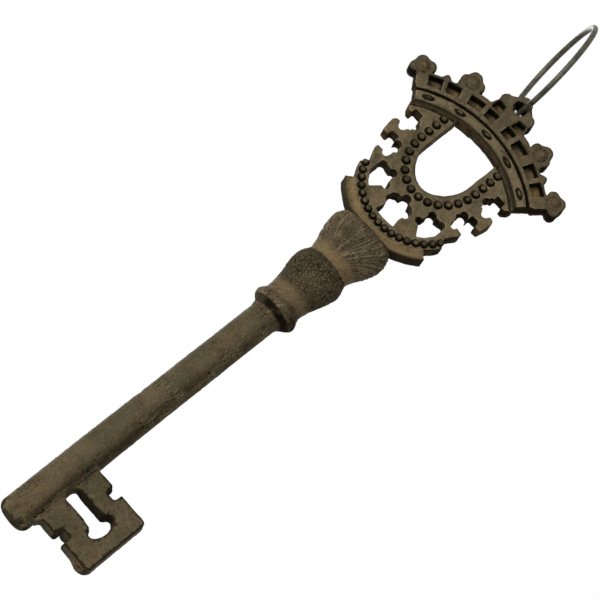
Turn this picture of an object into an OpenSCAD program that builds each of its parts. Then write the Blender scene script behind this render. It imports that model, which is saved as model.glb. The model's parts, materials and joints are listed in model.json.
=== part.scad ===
// Giant decorative key: a crowned and pierced bow on a turned stem, with a slotted plate bit
// and a wire ring through the top of the crown to hang it by.
//
// Heights are measured up from the bit end of the shank, and x and y from the axis of the stem.
// The front of the key faces -Y and the bit points to +X. The last step moves everything so that
// the origin is the point inside the top of the ring where it sits on a hook.

/* [Stem] */
// Length of the plain shank, from its end to the collar
shank_len = 172; // [120:1:240]
// Diameter of the shank
shank_d = 19.2; // [15:0.2:23.2]
// How much thinner the shank is where it meets the collar
shank_taper = 0.7; // [0:0.1:2]
// Radius of the rounding at the shank's end
shank_end_r = 4.5; // [2:0.5:7]
// Height of the collar
collar_h = 14.5; // [10:0.5:20]
// Largest diameter of the collar
collar_d = 29; // [24:0.2:35]
// Height of the lower vase
lower_vase_h = 33.5; // [26:0.5:42]
// Largest diameter of the lower vase
lower_vase_d = 33.8; // [28:0.2:41]
// Height of the upper vase
upper_vase_h = 31; // [24:0.5:38]
// Largest diameter of the upper vase
upper_vase_d = 41; // [34:0.2:49.2]
// Diameter of the neck under the lower vase
neck_d = 24.6; // [20.4:0.2:29.6]
// Diameter of the waist between the two vases
waist_d = 27; // [22.4:0.2:32.4]
// How much wider the upper vase's foot is than the top of the lower vase under it
waist_step = 2; // [0:0.2:4]
// How flat the stem has become at the waist, as depth over width
waist_flatness = 0.86; // [0.7:0.02:1]

/* [Bit] */
// Height of the bit's lower edge above the shank's end
bit_z = 11.5; // [6:0.5:20]
// Height of the bit
bit_h = 38.3; // [30:0.1:50]
// Reach of the bit from the axis of the stem
bit_reach = 45.4; // [37.8:0.2:56]
// Thickness of the bit
bit_t = 12; // [7:0.5:14.5]
// Radius of the bit's outer corners
bit_corner_r = 2.2; // [0.5:0.1:4]
// Radius of the fillets where the bit's upper and lower edges run into the shank
upper_fillet_r = 1.4; // [0.5:0.1:3]
lower_fillet_r = 3.4; // [0.5:0.1:5]
// Height of the slot
slot_h = 9; // [6:0.2:11]
// Radius of the corners at the slot's end
slot_end_r = 3; // [1:0.1:3]
// How far the slot's end reaches in beside the shank
slot_bite = 0.6; // [0.4:0.1:1]
// Width of the slot's eye
eye_w = 8.8; // [7:0.2:10.6]
// Height of the slot's eye
eye_h = 15.6; // [13:0.2:19]
// Distance of the eye from the bit's outer edge
eye_wall = 8.2; // [5:0.2:10]
// Width of the notch in each edge
notch_w = 6.4; // [3:0.2:8]
// Depth of the notch in each edge
notch_depth = 4.6; // [2:0.2:6]
// Radius of the notches' inner corners
notch_r = 1.5; // [0.3:0.1:1.5]
// Distance of the notches from the bit's outer edge
notch_wall = 18.3; // [14:0.1:22]

/* [Bow] */
// Thickness of the bow, front to back
bow_t = 10; // [7:0.5:14]
// Outer radius of the beaded rim; the tracery, the crown's arcs and the cradle grow with it
rim_r = 37.2; // [31:0.2:45]
// Width of the beaded rim
rim_w = 7.2; // [6:0.2:8.6]
// Width of the plain cradle under the rim
cradle_w = 6.4; // [5:0.2:7.8]
// Width of the shield-shaped opening
opening_w = 33.4; // [27.8:0.2:40.2]
// Depth of the round lower part of the opening
opening_drop = 21.4; // [17.8:0.2:25.8]
// Diameter of the beads round the opening
shield_bead_d = 4.9; // [4:0.1:5.9]
// Diameter of the beads along the rim
rim_bead_d = 4.3; // [3.5:0.1:5.2]
// Gap between neighbouring beads round the opening
shield_bead_gap = 1.05; // [0.3:0.05:2]
// Gap between neighbouring beads along the rim
rim_bead_gap = 0.45; // [0.3:0.05:1.5]
// Distance from the opening's edge to the middle of its line of beads
bead_inset = 5.4; // [4:0.1:6.5]
// How far the beads stand out of the face
bead_rise = 1.9; // [0.8:0.1:2.3]

/* [Crown] */
// Width of the crown's arched band, with its ridges
band_w = 11; // [9.1:0.1:13.2]
// Angle from the middle of the band to each end
band_angle = 38.5; // [37:0.5:46.5]
// Depth of the band's grooves
groove_depth = 1.8; // [0.8:0.1:3]
// Width of the groove along the band's outer edge
groove_w = 1.8; // [1:0.1:2.2]
// Width of the ridge outside that groove
ridge_w = 2; // [1.2:0.1:2.4]
// Height of the arcade above the band
arcade_h = 9; // [7.5:0.1:10.8]
// Depth of the arcade's windows
window_depth = 6; // [3:0.2:7.2]
// Number of gems on the band
gem_count = 5; // [3:2:5]
// Length of a gem
gem_l = 7.4; // [5:0.2:9]
// Width of a gem
gem_w = 3.8; // [3:0.1:4.6]
// Diameter and rise of the round boss on each finial
boss_d = 6.6; // [5:0.2:7]
boss_rise = 1.2; // [0.6:0.1:2]

/* [Ring] */
// Diameter of the ring's wire
wire_d = 3.4; // [2.8:0.1:4.1]
// Diameter of the ring, centre to centre of the wire
ring_d = 68.8; // [57:0.1:83]
// Smallest diameter of the hole that the ring hangs in
hole_d = 7; // [5.8:0.1:8.4]
// Gap left between the wire and the hole's edge that it hangs from
hang_gap = 0.3; // [0.2:0.1:0.5]
// How far the ring leans to the side in the hole
ring_lean = 10.6; // [0:0.2:20]
// How far the ring is turned out of square to the plate
ring_yaw = 11.5; // [0:0.5:14]
// Where the wire rests in the hole, as an angle from the hole's top
ring_rest = 37; // [0:1:45]

/* [Hidden] */

round_fn = 96;
iron = "#5d5343";
worn_iron = "#6b6051";
rusty_iron = "#6f5637";
wire_steel = "#6a6253";

// Heights up the stem
collar_z = shank_len;
lower_vase_z = collar_z + collar_h;
upper_vase_z = lower_vase_z + lower_vase_h;
stem_top = upper_vase_z + upper_vase_h;

// The bow's pattern is drawn for a rim of 37.2 mm, and k takes it to the rim's real radius
k = rim_r / 37.2;
// How far the opening's width pushes the arms out from where the pattern has them
spread = opening_w / 2 - 16.7 * k;

// The bow's three centres: of the rim and cradle, of the opening's round end, and of the crown.
// The stem reaches a little way into the cradle's curve.
cradle_seat = 2.5;
rim_c = [0, stem_top + rim_r + cradle_w - cradle_seat];
opening_c = [0, rim_c.y + opening_drop - 0.5 * k];
crown_c = [0, rim_c.y - 18.6 * k];

// Radii about the crown's centre
band_in = 66.5 * k;
band_out = band_in + band_w;
arcade_out = band_out + arcade_h;

front = -bow_t / 2;
eps = 0.01;

// The hole for the ring, at the top of the crown, and its mouth, which clears the turned ring
hole_c = [0, crown_c.y + arcade_out + 11.3];
hole_mouth_d = hole_d + bow_t * tan(11.5);
hang_drop = (hole_d - wire_d) / 2 - hang_gap;

// Middle of the wire where it passes the hole, and the inside of the ring's top where it sits on its hook
wire_at = hole_c + hang_drop * [sin(ring_rest), cos(ring_rest)];
seat_at = wire_at + (ring_d - wire_d / 2) * [-sin(ring_lean), cos(ring_lean)];
hook_seat = [seat_at.x, 0, seat_at.y];

// Points of an elliptical arc, for outlines
function arc(c, rx, ry, from, to, n) =
    [for (i = [0:n]) let (a = from + (to - from) * i / n) c + [rx * cos(a), ry * sin(a)]];

// An outline from the points of its +X side, given in order from top to bottom or back
function two_sided(half) = concat(half, [for (i = [len(half) - 1:-1:0]) [-half[i].x, half[i].y]]);

// A point at radius r and angle a from the crown's vertical, towards +X
function on_crown(r, a) = crown_c + [r * sin(a), r * cos(a)];

// A drawing in x and height, made solid between two depths
module slab(y_front, y_back) {
    translate([0, y_back, 0]) rotate([90, 0, 0]) linear_extrude(y_back - y_front) children();
}

// The full thickness of the bow
module bow_slab() {
    slab(front, -front) children();
}

module both_sides() {
    children();
    mirror([1, 0, 0]) children();
}

module disc(c, r) {
    translate(c) circle(r, $fn = round_fn);
}

// A pie slice about a centre, open by an angle each side of a direction from the vertical
module slice(c, r, direction, half_angle) {
    translate(c) rotate(90 - direction)
        polygon([[0, 0], for (a = [-half_angle, 0, half_angle]) 2 * r * [cos(a), sin(a)]]);
}

module ring_sector(c, r_in, r_out, direction, half_angle) {
    intersection() {
        difference() {
            disc(c, r_out);
            disc(c, r_in);
        }
        slice(c, r_out, direction, half_angle);
    }
}

// A square corner with a disc taken out of it: what rounds an outer corner or fills an inner one
module spandrel(corner, r, to_x, to_y) {
    difference() {
        translate([corner.x + min(0, to_x * r), corner.y + min(0, to_y * r)]) square(r);
        disc(corner + r * [to_x, to_y], r);
    }
}

// Stem: a round shank, then sections that grow oval towards the flat bow

module shank() {
    r = shank_d / 2;
    profile = arc([r - shank_end_r, shank_end_r], shank_end_r, shank_end_r, 270, 360, 8);
    color(iron) rotate_extrude($fn = round_fn)
        polygon(concat([[0, 0]], profile, [[r - shank_taper / 2, collar_z], [0, collar_z]]));
}

// A solid through oval rings, each given as [height, half width, half depth]
module lofted(rings, sides = 36) {
    points = [for (ring = rings) for (j = [0:sides - 1])
        [ring[1] * cos(360 * j / sides), ring[2] * sin(360 * j / sides), ring[0]]];
    walls = [for (i = [0:len(rings) - 2]) for (j = [0:sides - 1])
        let (a = i * sides + j, b = i * sides + (j + 1) % sides)
            each [[a, a + sides, b + sides], [a, b + sides, b]]];
    top = (len(rings) - 1) * sides;
    polyhedron(points, concat([[for (j = [0:sides - 1]) j]], walls, [[for (j = [sides - 1:-1:0]) top + j]]));
}

// The collar flares out of the shank to a rounded lip, and closes in to the neck.
// Each step is [share of the height, half width, how flat it has become]
module collar() {
    r = (shank_d - shank_taper) / 2;
    lip = collar_d / 2;
    neck = neck_d / 2;
    flat = (1 + waist_flatness) / 2;
    steps = [
        [0, r, 1],
        [0.14, r + 0.14 * (lip - r), 0.99],
        [0.28, r + 0.42 * (lip - r), 0.97],
        [0.44, r + 0.76 * (lip - r), 0.95],
        [0.54, r + 0.94 * (lip - r), flat],
        [0.62, lip, flat],
        [0.7, lip - 0.1 * (lip - neck), flat],
        [0.78, lip - 0.4 * (lip - neck), flat],
        [0.88, lip - 0.75 * (lip - neck), flat],
        [1, neck, flat]
    ];
    color(iron) lofted([for (s = steps) [collar_z + s[0] * collar_h, s[1], s[1] * s[2]]]);
}

// How a size swells from a neck to a belly, part of the way up, and closes in again to the top
function swell(u, belly_at, neck, belly, top, fullness) =
    u < belly_at
        ? neck + (belly - neck) * pow((1 - cos(180 * u / belly_at)) / 2, fullness)
        : top + (belly - top) * sqrt(max(0, 1 - pow((u - belly_at) / (1 - belly_at), 2)));

// A vase from its neck to its top; widths and depths are [neck, belly, top]
module vase(z, h, widths, depths, belly_at, fullness) {
    steps = concat([for (i = [0:8]) belly_at * i / 8],
                   [for (i = [1:6]) belly_at + (1 - belly_at) * sin(15 * i)]);
    lofted([for (u = steps) [
        z + h * u,
        swell(u, belly_at, widths[0], widths[1], widths[2], fullness) / 2,
        swell(u, belly_at, depths[0], depths[1], depths[2], fullness) / 2
    ]]);
}

module lower_vase() {
    flat = (1 + waist_flatness) / 2;
    widths = [neck_d, lower_vase_d, waist_d - waist_step / 2];
    color(iron) vase(lower_vase_z, lower_vase_h, widths,
                     [widths[0] * flat, widths[1] * waist_flatness, widths[2] * waist_flatness], 0.76, 1.15);
}

// The upper vase flattens to little more than the bow's thickness where it meets the cradle
module upper_vase() {
    shoulder = 9;
    widths = [waist_d + waist_step / 2, upper_vase_d, upper_vase_d - shoulder];
    color(worn_iron) vase(upper_vase_z, upper_vase_h, widths,
                          [widths[0] * waist_flatness, widths[1] * 0.78, bow_t + 2], 0.69, 0.9);
}

// Bit: a plate with a keyhole slot, and a notch in each edge

slot_z = bit_z + 0.515 * bit_h;
eye_x = bit_reach - eye_wall - eye_w / 2;
notch_x = bit_reach - notch_wall - notch_w / 2;

module bit_outline() {
    difference() {
        translate([0, bit_z]) square([bit_reach, bit_h]);
        notch(bit_z, 1);
        notch(bit_z + bit_h, -1);
        spandrel([bit_reach, bit_z], bit_corner_r, -1, 1);
        spandrel([bit_reach, bit_z + bit_h], bit_corner_r, -1, -1);
    }
}

// A notch that goes up or down into an edge of the bit, with rounded inner corners
module notch(edge_z, way) {
    deep = edge_z + way * notch_depth;
    difference() {
        translate([notch_x - notch_w / 2, way > 0 ? edge_z - 2 : deep]) square([notch_w, notch_depth + 2]);
        for (side = [-1, 1]) spandrel([notch_x + side * notch_w / 2, deep], notch_r, -side, -way);
    }
}

// The slot runs from beside the shank to its oval eye
module slot() {
    from = shank_d / 2 - slot_bite;
    difference() {
        translate([from, slot_z - slot_h / 2]) square([eye_x - from, slot_h]);
        for (way = [-1, 1]) spandrel([from, slot_z + way * slot_h / 2], slot_end_r, 1, -way);
    }
}

module eye() {
    polygon(arc([eye_x, slot_z], eye_w / 2, eye_h / 2, 0, 352.5, 47));
}

module bit() {
    color(iron) difference() {
        union() {
            slab(-bit_t / 2, bit_t / 2) bit_outline();
            slab(-bit_t / 2, bit_t / 2) fillet(bit_z, lower_fillet_r, -1);
            slab(-bit_t / 2, bit_t / 2) fillet(bit_z + bit_h, upper_fillet_r, 1);
        }
        slab(-bit_t, bit_t) slot();
        slab(-bit_t, bit_t) eye();
        cylinder(h = shank_len, d1 = shank_d, d2 = shank_d - shank_taper, $fn = round_fn);
    }
}

// Fills the corner between an edge of the bit and the shank
module fillet(edge_z, r, way) {
    difference() {
        translate([shank_d / 2 - 1.2, way > 0 ? edge_z - 1 : edge_z - r]) square([r + 1.2, r + 1]);
        disc([shank_d / 2 + r, edge_z + way * r], r);
    }
}

// Lower bow: cradle, beaded rim, and the pierced tracery round the shield-shaped opening

module above_stem() {
    translate([-2 * rim_r, stem_top]) square(4 * rim_r);
}

module cradle() {
    color(rusty_iron) bow_slab() intersection() {
        ring_sector(rim_c, rim_r, rim_r + cradle_w, 180, 47.5);
        above_stem();
    }
}

// Half of an outline that follows the opening, from the middle of its foot up the +X side.
// The round end is drawn in a little between its foot and its sides, so that it comes to a blunt point.
function shield_half(grow, draw_in, n) = concat(
    [for (i = [0:n]) let (a = 90 * i / n, s = 1 - draw_in * pow(sin(2 * a), 2))
        opening_c + s * [(opening_w / 2 + grow) * sin(a), -(opening_drop + grow) * cos(a)]],
    [[opening_w / 2 + grow, crown_c.y + band_out]]
);

// The opening, or the same outline grown by a border
module shield(grow) {
    polygon(two_sided(shield_half(grow, 0.025, 24)));
}

// The pattern's own coordinates, about the rim's centre and in its units
module dot(x, y, r) {
    disc(k * [x, y], k * r);
}

module cell(x, y, w, h) {
    translate(k * [x, y]) square(k * [w, h]);
}

// The notches and piercings are the arms of a cross, rounded at their ends
module upper_notch() {
    cell(30.8, 17.4, 6, 13.4);
    cell(29.2, 18.6, 20, 8.8);
    dot(29.4, 23.1, 2.5);
    dot(33.8, 17.5, 2.4);
}

module lower_notch() {
    cell(30.2, 0, 5, 10.9);
    cell(25.6, -1.6, 20, 8.8);
    dot(27.2, 7.3, 2.4);
    dot(25.9, 4.1, 1.9);
    dot(27.9, -1.6, 2);
}

module middle_piercing() {
    polygon(k * [[-7.6, -32], [7.6, -32], [5.7, -23.6], [-5.7, -23.6]]);
    cell(-6, -24, 12, 10.8);
    for (side = [-1, 1]) {
        dot(side * 6.1, -18.9, 2.4);
        dot(side * 5.6, -16.2, 2.4);
    }
    cell(-2.7, -14, 5.4, 2.4);
    dot(0, -11.8, 2.7);
}

module side_piercing() {
    polygon(k * [[12.8, -16.2], [14.2, -12], [14.6, -6.6], [24, -5.6], [25.6, -8.4], [25.6, -15],
                 [20, -23.8], [18.8, -22.2], [15.6, -17.7]]);
    dot(13.3, -15.1, 2.2);
    dot(16.1, -7, 2.4);
    dot(23.4, -7.5, 2.3);
}

// The lower bow's outline: two T-headed arms a side, drawn in towards the rim
module silhouette() {
    arms = [[50, 60], [42.4, 33.4], [41.6, 29.8], [39.2, 27.4], [37.4, 27], [37, 24], [38.2, 18.4],
            [39.6, 18.2], [40.9, 16], [39.4, 7], [34, 2], [34.4, -3.8]];
    foot = [[30, -11.3], [31.9, -14.8], [31.9, -19]];
    polygon(two_sided(concat([for (p = arms) k * p + [spread, 0]], k * foot)));
}

module tracery_cuts() {
    shield(0);
    translate(rim_c) both_sides() {
        translate([spread, 0]) {
            upper_notch();
            lower_notch();
        }
    }
    intersection() {
        translate(rim_c) union() {
            middle_piercing();
            both_sides() side_piercing();
        }
        disc(rim_c, rim_r - rim_w);
    }
}

// The groove under the crown's band, which leaves a thin ridge between them
module under_groove() {
    difference() {
        ring_sector(crown_c, band_in - 3.4, band_in - 1.6, 0, 45);
        shield(1);
    }
}

module tracery() {
    color(iron) difference() {
        union() {
            bow_slab() intersection() {
                translate(rim_c) silhouette();
                disc(crown_c, band_in);
            }
            bow_slab() ring_sector(rim_c, 1, rim_r, 180, 64.5);
        }
        slab(front - 1, 1 - front) tracery_cuts();
        slab(front - 1, front + 0.6 * groove_depth) under_groove();
    }
}

// A round bead standing on the front face
module bead(at, d, rise) {
    sphere_r = (pow(d / 2, 2) + pow(rise, 2)) / (2 * rise);
    translate([at.x, front, at.y]) intersection() {
        translate([0, sphere_r - rise, 0]) sphere(sphere_r, $fn = 32);
        translate([-d, -d, -d]) cube([2 * d, d, 2 * d]);
    }
}

// Running length at each point of a path
function run_lengths(path, i = 0, sum = 0) =
    i == len(path) ? [] :
    let (s = i == 0 ? 0 : sum + norm(path[i] - path[i - 1]))
        concat([s], run_lengths(path, i + 1, s));

shield_bead_path = shield_half(bead_inset, 0, 60);
shield_bead_runs = run_lengths(shield_bead_path);

function along_shield(s) = [
    lookup(s, [for (i = [0:len(shield_bead_path) - 1]) [shield_bead_runs[i], shield_bead_path[i].x]]),
    lookup(s, [for (i = [0:len(shield_bead_path) - 1]) [shield_bead_runs[i], shield_bead_path[i].y]])
];

// The beads fill each side of the opening up to the groove under the band
module shield_beads() {
    pitch = shield_bead_d + shield_bead_gap;
    side_x = opening_w / 2 + bead_inset;
    groove_y = crown_c.y + sqrt(pow(band_in - 3.4, 2) - pow(side_x, 2));
    room = shield_bead_runs[60] + groove_y - opening_c.y;
    count = floor(room / pitch + 0.5);
    color(worn_iron) both_sides()
        for (i = [0:count - 1]) bead(along_shield(pitch * (i + 0.54)), shield_bead_d, bead_rise);
}

module rim_beads() {
    bead_r = rim_r - 0.42 * rim_w;
    step = 2 * asin((rim_bead_d + rim_bead_gap) / 2 / bead_r);
    half = floor(64.5 / step);
    color(worn_iron)
        for (i = [-half:half]) bead(rim_c + bead_r * [sin(i * step), -cos(i * step)], rim_bead_d, bead_rise);
}

// Crown: band with gems, arcade of small windows, five trefoil finials

// The shallow groove that parts the band from the tracery reaches this far into it
inner_groove_w = 0.7;

module crown_band() {
    color(worn_iron) difference() {
        bow_slab() ring_sector(crown_c, band_in, band_out, 0, band_angle);
        slab(front - 1, front + groove_depth)
            ring_sector(crown_c, band_out - ridge_w - groove_w, band_out - ridge_w, 0, band_angle + 3);
        slab(front - 1, front + 0.4 * groove_depth)
            ring_sector(crown_c, band_in - 1, band_in + inner_groove_w, 0, band_angle + 3);
    }
}

// An oval cabochon: a spindle of revolution, half sunk in the band midway between its grooves
module gem(angle) {
    at = on_crown(band_in + (inner_groove_w + band_w - ridge_w - groove_w) / 2, angle);
    n = 12;
    translate([at.x, front, at.y]) rotate([0, angle, 0]) intersection() {
        rotate([0, 90, 0]) rotate_extrude($fn = 48)
            polygon(concat([[0, -gem_l / 2]],
                           [for (i = [1:n - 1]) let (a = 180 * i / n) [gem_w / 2 * sin(a), -gem_l / 2 * cos(a)]],
                           [[0, gem_l / 2]]));
        translate([-gem_l, -gem_w, -gem_w]) cube([2 * gem_l, gem_w, 2 * gem_w]);
    }
}

module band_gems() {
    half = (gem_count - 1) / 2;
    color(rusty_iron) for (i = [-half:half]) gem(16 * i);
}

// A trefoil head pointing up: two side lobes and a top lobe, joined by a web
module trefoil(side_r, side_reach, top_r, top_reach) {
    for (side = [-1, 1]) disc([side * side_reach, 0], side_r);
    disc([0, top_reach], top_r);
    polygon([
        [-side_reach - 0.3 * side_r, 0.9 * side_r], [-0.9 * top_r, top_reach + 0.4 * top_r],
        [0.9 * top_r, top_reach + 0.4 * top_r], [side_reach + 0.3 * side_r, 0.9 * side_r],
        [side_reach, -0.9 * side_r], [-side_reach, -0.9 * side_r]
    ]);
}

// How far each finial's head sits above the arcade, and its angle on the crown
inner_above = 5.1;
outer_above = 3.1;
inner_at = [arcade_out + inner_above, 17.9];
outer_at = [arcade_out + outer_above, band_angle - 1.6];

module inner_finial_outline() {
    low = -inner_above;
    foot = low - arcade_h - 1;
    translate(on_crown(inner_at[0], inner_at[1])) rotate(-inner_at[1]) {
        trefoil(3.8, 3.9, 4.5, 3.3);
        polygon([[-5.6, 0], [5.6, 0], [8, low - 0.6], [8, low - 2], [2.6, low - 3],
                 [2.6, foot], [-2.6, foot], [-2.6, low - 3], [-7, low - 2], [-7, low - 0.6]]);
    }
}

// The outer heads are turned a little towards the middle of the crown
module outer_finial_outline() {
    low = -outer_above;
    foot = low - arcade_h - 1;
    translate(on_crown(outer_at[0], outer_at[1])) rotate(-outer_at[1]) {
        rotate(-9) trefoil(3.4, 4.6, 4.3, 3);
        polygon([[-5, 0], [4.6, 0], [3.2, low - 1], [2.9, foot], [-2.7, foot], [-3.2, low - 1]]);
    }
}

// Half of the lug's outline about the hole, from its top down the +X side and into the band
lug_foot = hole_c.y - crown_c.y - band_out + 1.5;
lug_half = concat(
    arc([0, 4.4], 4.8, 4.8, 90, 10, 8),
    arc([8.4, -2], 4.3, 4.3, 88, -36, 9),
    [[12.3, -6.5], [13.4, -10.5], [12.6, -12.7], [11.2, -lug_foot]]
);

module lug_outline() {
    translate(hole_c) polygon(two_sided(lug_half));
}

module outside_band() {
    difference() {
        children();
        disc(crown_c, band_out);
    }
}

// Half of the top of the arcade's wall, higher in the middle and with a pinnacle further out
arcade_end = band_angle - 3.5;
arcade_half = concat(
    [for (a = [0:13]) on_crown(arcade_out + 2.3, a)],
    [for (a = [14:25]) on_crown(arcade_out, a)],
    [on_crown(arcade_out + 2.2, 25.9), on_crown(arcade_out + 3.2, 27), on_crown(arcade_out + 2.2, 28.1)],
    [for (i = [0:6]) on_crown(arcade_out, 29 + (arcade_end - 29) * i / 6)],
    [on_crown(band_out - 2, arcade_end)]
);

module arcade_outline() {
    difference() {
        polygon(two_sided(arcade_half));
        disc(crown_c, band_out);
        lug_outline();
        both_sides() {
            inner_finial_outline();
            outer_finial_outline();
        }
    }
}

// Windows of the arcade, from one angle to another, over the band's outer ridge
module window(from, to) {
    ring_sector(crown_c, band_out + 0.4, arcade_out - 1.6, (from + to) / 2, (to - from) / 2);
}

module windows() {
    both_sides() {
        window(2.6, 7.4);
        window(9.4, 15.9);
        window(20, 26);
        window(28, 34);
        translate(hole_c) polygon([[4.6, -12], [5.4, -5.6], [11, -5.2], [11.4, -12]]);
    }
}

module window_cuts() {
    slab(front - 1, front + window_depth) windows();
}

module arcade() {
    color(iron) difference() {
        bow_slab() arcade_outline();
        window_cuts();
    }
}

// The hole opens out towards both faces, so that the ring can lean in it
module ring_hole() {
    translate([0, 0, hole_c.y]) rotate([90, 0, 0]) {
        cylinder(h = 2 * bow_t, d = hole_d, center = true, $fn = round_fn);
        for (side = [0, 1]) mirror([0, 0, side])
            cylinder(h = bow_t / 2 + eps, d1 = hole_d, d2 = hole_mouth_d, $fn = round_fn);
    }
}

module hanger_lug() {
    color(worn_iron) difference() {
        bow_slab() outside_band() lug_outline();
        window_cuts();
        ring_hole();
    }
}

// One finial of the +X side: its outline made solid, with a round boss on the face
module finial(at) {
    difference() {
        bow_slab() outside_band() children();
        window_cuts();
    }
    bead(on_crown(at[0], at[1]), boss_d, boss_rise);
}

module inner_finial_right() {
    color(worn_iron) finial(inner_at) difference() {
        inner_finial_outline();
        lug_outline();
    }
}

module outer_finial_right() {
    color(worn_iron) finial(outer_at) outer_finial_outline();
}

module inner_finial_left() {
    mirror([1, 0, 0]) inner_finial_right();
}

module outer_finial_left() {
    mirror([1, 0, 0]) outer_finial_right();
}

// Ring: round wire through the hole, hanging from the hook and holding the key up

module hanging_ring() {
    color(wire_steel) translate([wire_at.x, 0, wire_at.y]) rotate([0, -ring_lean, 0]) rotate([0, 0, ring_yaw])
        translate([0, 0, ring_d / 2]) rotate([0, 90, 0])
            rotate_extrude($fn = round_fn) translate([ring_d / 2, 0]) circle(d = wire_d, $fn = 32);
}

// Moves the key so that the hook seat is the origin
module hung() {
    translate(-hook_seat) children();
}

hung() shank();
hung() bit();
hung() collar();
hung() lower_vase();
hung() upper_vase();
hung() cradle();
hung() tracery();
hung() shield_beads();
hung() rim_beads();
hung() crown_band();
hung() band_gems();
hung() arcade();
hung() hanger_lug();
hung() inner_finial_left();
hung() inner_finial_right();
hung() outer_finial_left();
hung() outer_finial_right();
hung() hanging_ring();
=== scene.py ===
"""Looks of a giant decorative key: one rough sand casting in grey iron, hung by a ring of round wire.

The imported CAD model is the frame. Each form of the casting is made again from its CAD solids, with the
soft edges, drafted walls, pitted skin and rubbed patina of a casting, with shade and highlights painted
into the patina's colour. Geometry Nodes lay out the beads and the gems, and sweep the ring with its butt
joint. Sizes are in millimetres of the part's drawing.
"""

from __future__ import annotations

import json
import logging
import math
from dataclasses import dataclass, field
from enum import Enum

import bmesh
import bpy
import numpy as np
from bpy.types import Material, Mesh, Node, NodeSocket, NodeTree, Object
from mathutils import Matrix, Vector

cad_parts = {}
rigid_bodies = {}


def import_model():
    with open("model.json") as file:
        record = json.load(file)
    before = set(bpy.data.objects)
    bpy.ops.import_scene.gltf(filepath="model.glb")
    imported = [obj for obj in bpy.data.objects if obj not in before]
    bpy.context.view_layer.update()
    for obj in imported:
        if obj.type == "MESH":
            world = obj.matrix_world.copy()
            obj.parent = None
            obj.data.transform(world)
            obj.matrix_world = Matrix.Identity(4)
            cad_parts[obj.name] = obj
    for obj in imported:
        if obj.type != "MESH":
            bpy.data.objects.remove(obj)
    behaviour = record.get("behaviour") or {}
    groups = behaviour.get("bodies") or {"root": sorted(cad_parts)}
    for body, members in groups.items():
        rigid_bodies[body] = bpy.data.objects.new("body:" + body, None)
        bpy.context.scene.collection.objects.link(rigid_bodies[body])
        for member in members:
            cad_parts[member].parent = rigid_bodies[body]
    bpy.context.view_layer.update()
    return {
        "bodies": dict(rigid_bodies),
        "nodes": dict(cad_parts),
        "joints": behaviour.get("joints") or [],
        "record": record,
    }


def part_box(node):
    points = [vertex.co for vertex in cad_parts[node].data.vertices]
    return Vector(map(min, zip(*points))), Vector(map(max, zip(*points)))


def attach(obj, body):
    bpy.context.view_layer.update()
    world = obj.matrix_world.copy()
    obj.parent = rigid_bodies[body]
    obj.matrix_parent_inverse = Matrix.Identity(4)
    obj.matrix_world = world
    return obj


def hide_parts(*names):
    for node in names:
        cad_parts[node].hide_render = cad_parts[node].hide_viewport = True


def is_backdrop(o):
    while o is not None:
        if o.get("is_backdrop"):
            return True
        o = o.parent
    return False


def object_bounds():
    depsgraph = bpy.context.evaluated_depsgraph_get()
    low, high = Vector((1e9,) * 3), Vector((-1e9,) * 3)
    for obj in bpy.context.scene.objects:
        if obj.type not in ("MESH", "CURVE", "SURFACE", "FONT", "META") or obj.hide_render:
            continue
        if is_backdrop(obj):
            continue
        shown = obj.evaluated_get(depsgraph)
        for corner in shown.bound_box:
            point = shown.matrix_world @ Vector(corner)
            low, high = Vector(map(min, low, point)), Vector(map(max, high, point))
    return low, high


log = logging.getLogger("key")

MM = 0.001
WHITE = (1.0, 1.0, 1.0, 1.0)

# Heights up the stem of the centres of the bow's arcs
RIM_Z = 292.1
OPENING_Z = 313.0
CROWN_Z = 273.5
# Half the bow's thickness: its front lies at minus this
BOW_HALF = 5.0

# How far a point lies under or over the skin round it where it starts to be a hollow, with film and
# painted shade, a rubbed ridge with a painted highlight, and an edge with film and painted shade, and
# where it is fully one
HOLLOW_MM = (0.03, 0.17)
RIDGE_MM = (0.03, 0.15)
EDGE_MM = (0.02, 0.1)

# Large odd numbers that mix a cell's three whole numbers into one, and shifts that tell one noise
# pattern, and one layer of it, from the next
CELL_MIX = np.array([73856093, 19349663, 83492791])
SECOND_MIX = 1274126177
SEED_MIX = 97
SEED_SHIFT = 37.7
OCTAVE_SHIFT = 11.3


class Body(Enum):
    """The CAD bodies that pieces ride on."""

    KEY = "key"
    RING = "ring"


class Slot(Enum):
    """The record's material slots."""

    GREY_IRON = "grey_iron"
    WORN_IRON = "worn_iron"
    RUSTY_IRON = "rusty_iron"
    RING_WIRE = "ring_wire"


class Stain(Enum):
    """What is painted on a casting, point by point, for its finish to read."""

    # The near-black film, with painted shade on walls, in hollows, moats and grooves and under the lip
    FILM_AND_SHADE = "hollow"
    RUSTY = "rusty"
    # Rubbed metal, with painted highlights on ridges, bead tops, the band's round back and the collar's lip
    WORN_AND_HIGHLIGHT = "worn"
    PITTED = "pitted"


# The amount of each stain, one number for each point
Stains = dict[Stain, np.ndarray]


def linear(hex_colour: str) -> tuple[float, ...]:
    """An sRGB hex colour as linear light, by the curve that the sRGB standard gives.

    Args:
        hex_colour: six hex digits after a hash.

    Returns:
        Red, green, blue and an alpha of one.
    """
    values = [int(hex_colour[i : i + 2], 16) / 255 for i in (1, 3, 5)]
    parts = [v / 12.92 if v <= 0.04045 else ((v + 0.055) / 1.055) ** 2.4 for v in values]
    return (*parts, 1.0)


def add_node(tree: NodeTree, kind: str, inputs: dict | None = None, **settings: object) -> Node:
    """Adds a node, sets it up and links it.

    Args:
        tree: the tree that gets the node.
        kind: Blender's name of the node's type.
        inputs: socket name or index to a value, or to an output socket to link.
        settings: properties of the node itself.

    Returns:
        The new node.
    """
    node = tree.nodes.new(kind)
    for name, value in settings.items():
        setattr(node, name, value)
    for name, value in (inputs or {}).items():
        socket = node.inputs[name]
        if isinstance(value, NodeSocket):
            tree.links.new(value, socket)
        else:
            socket.default_value = value
    return node


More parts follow.
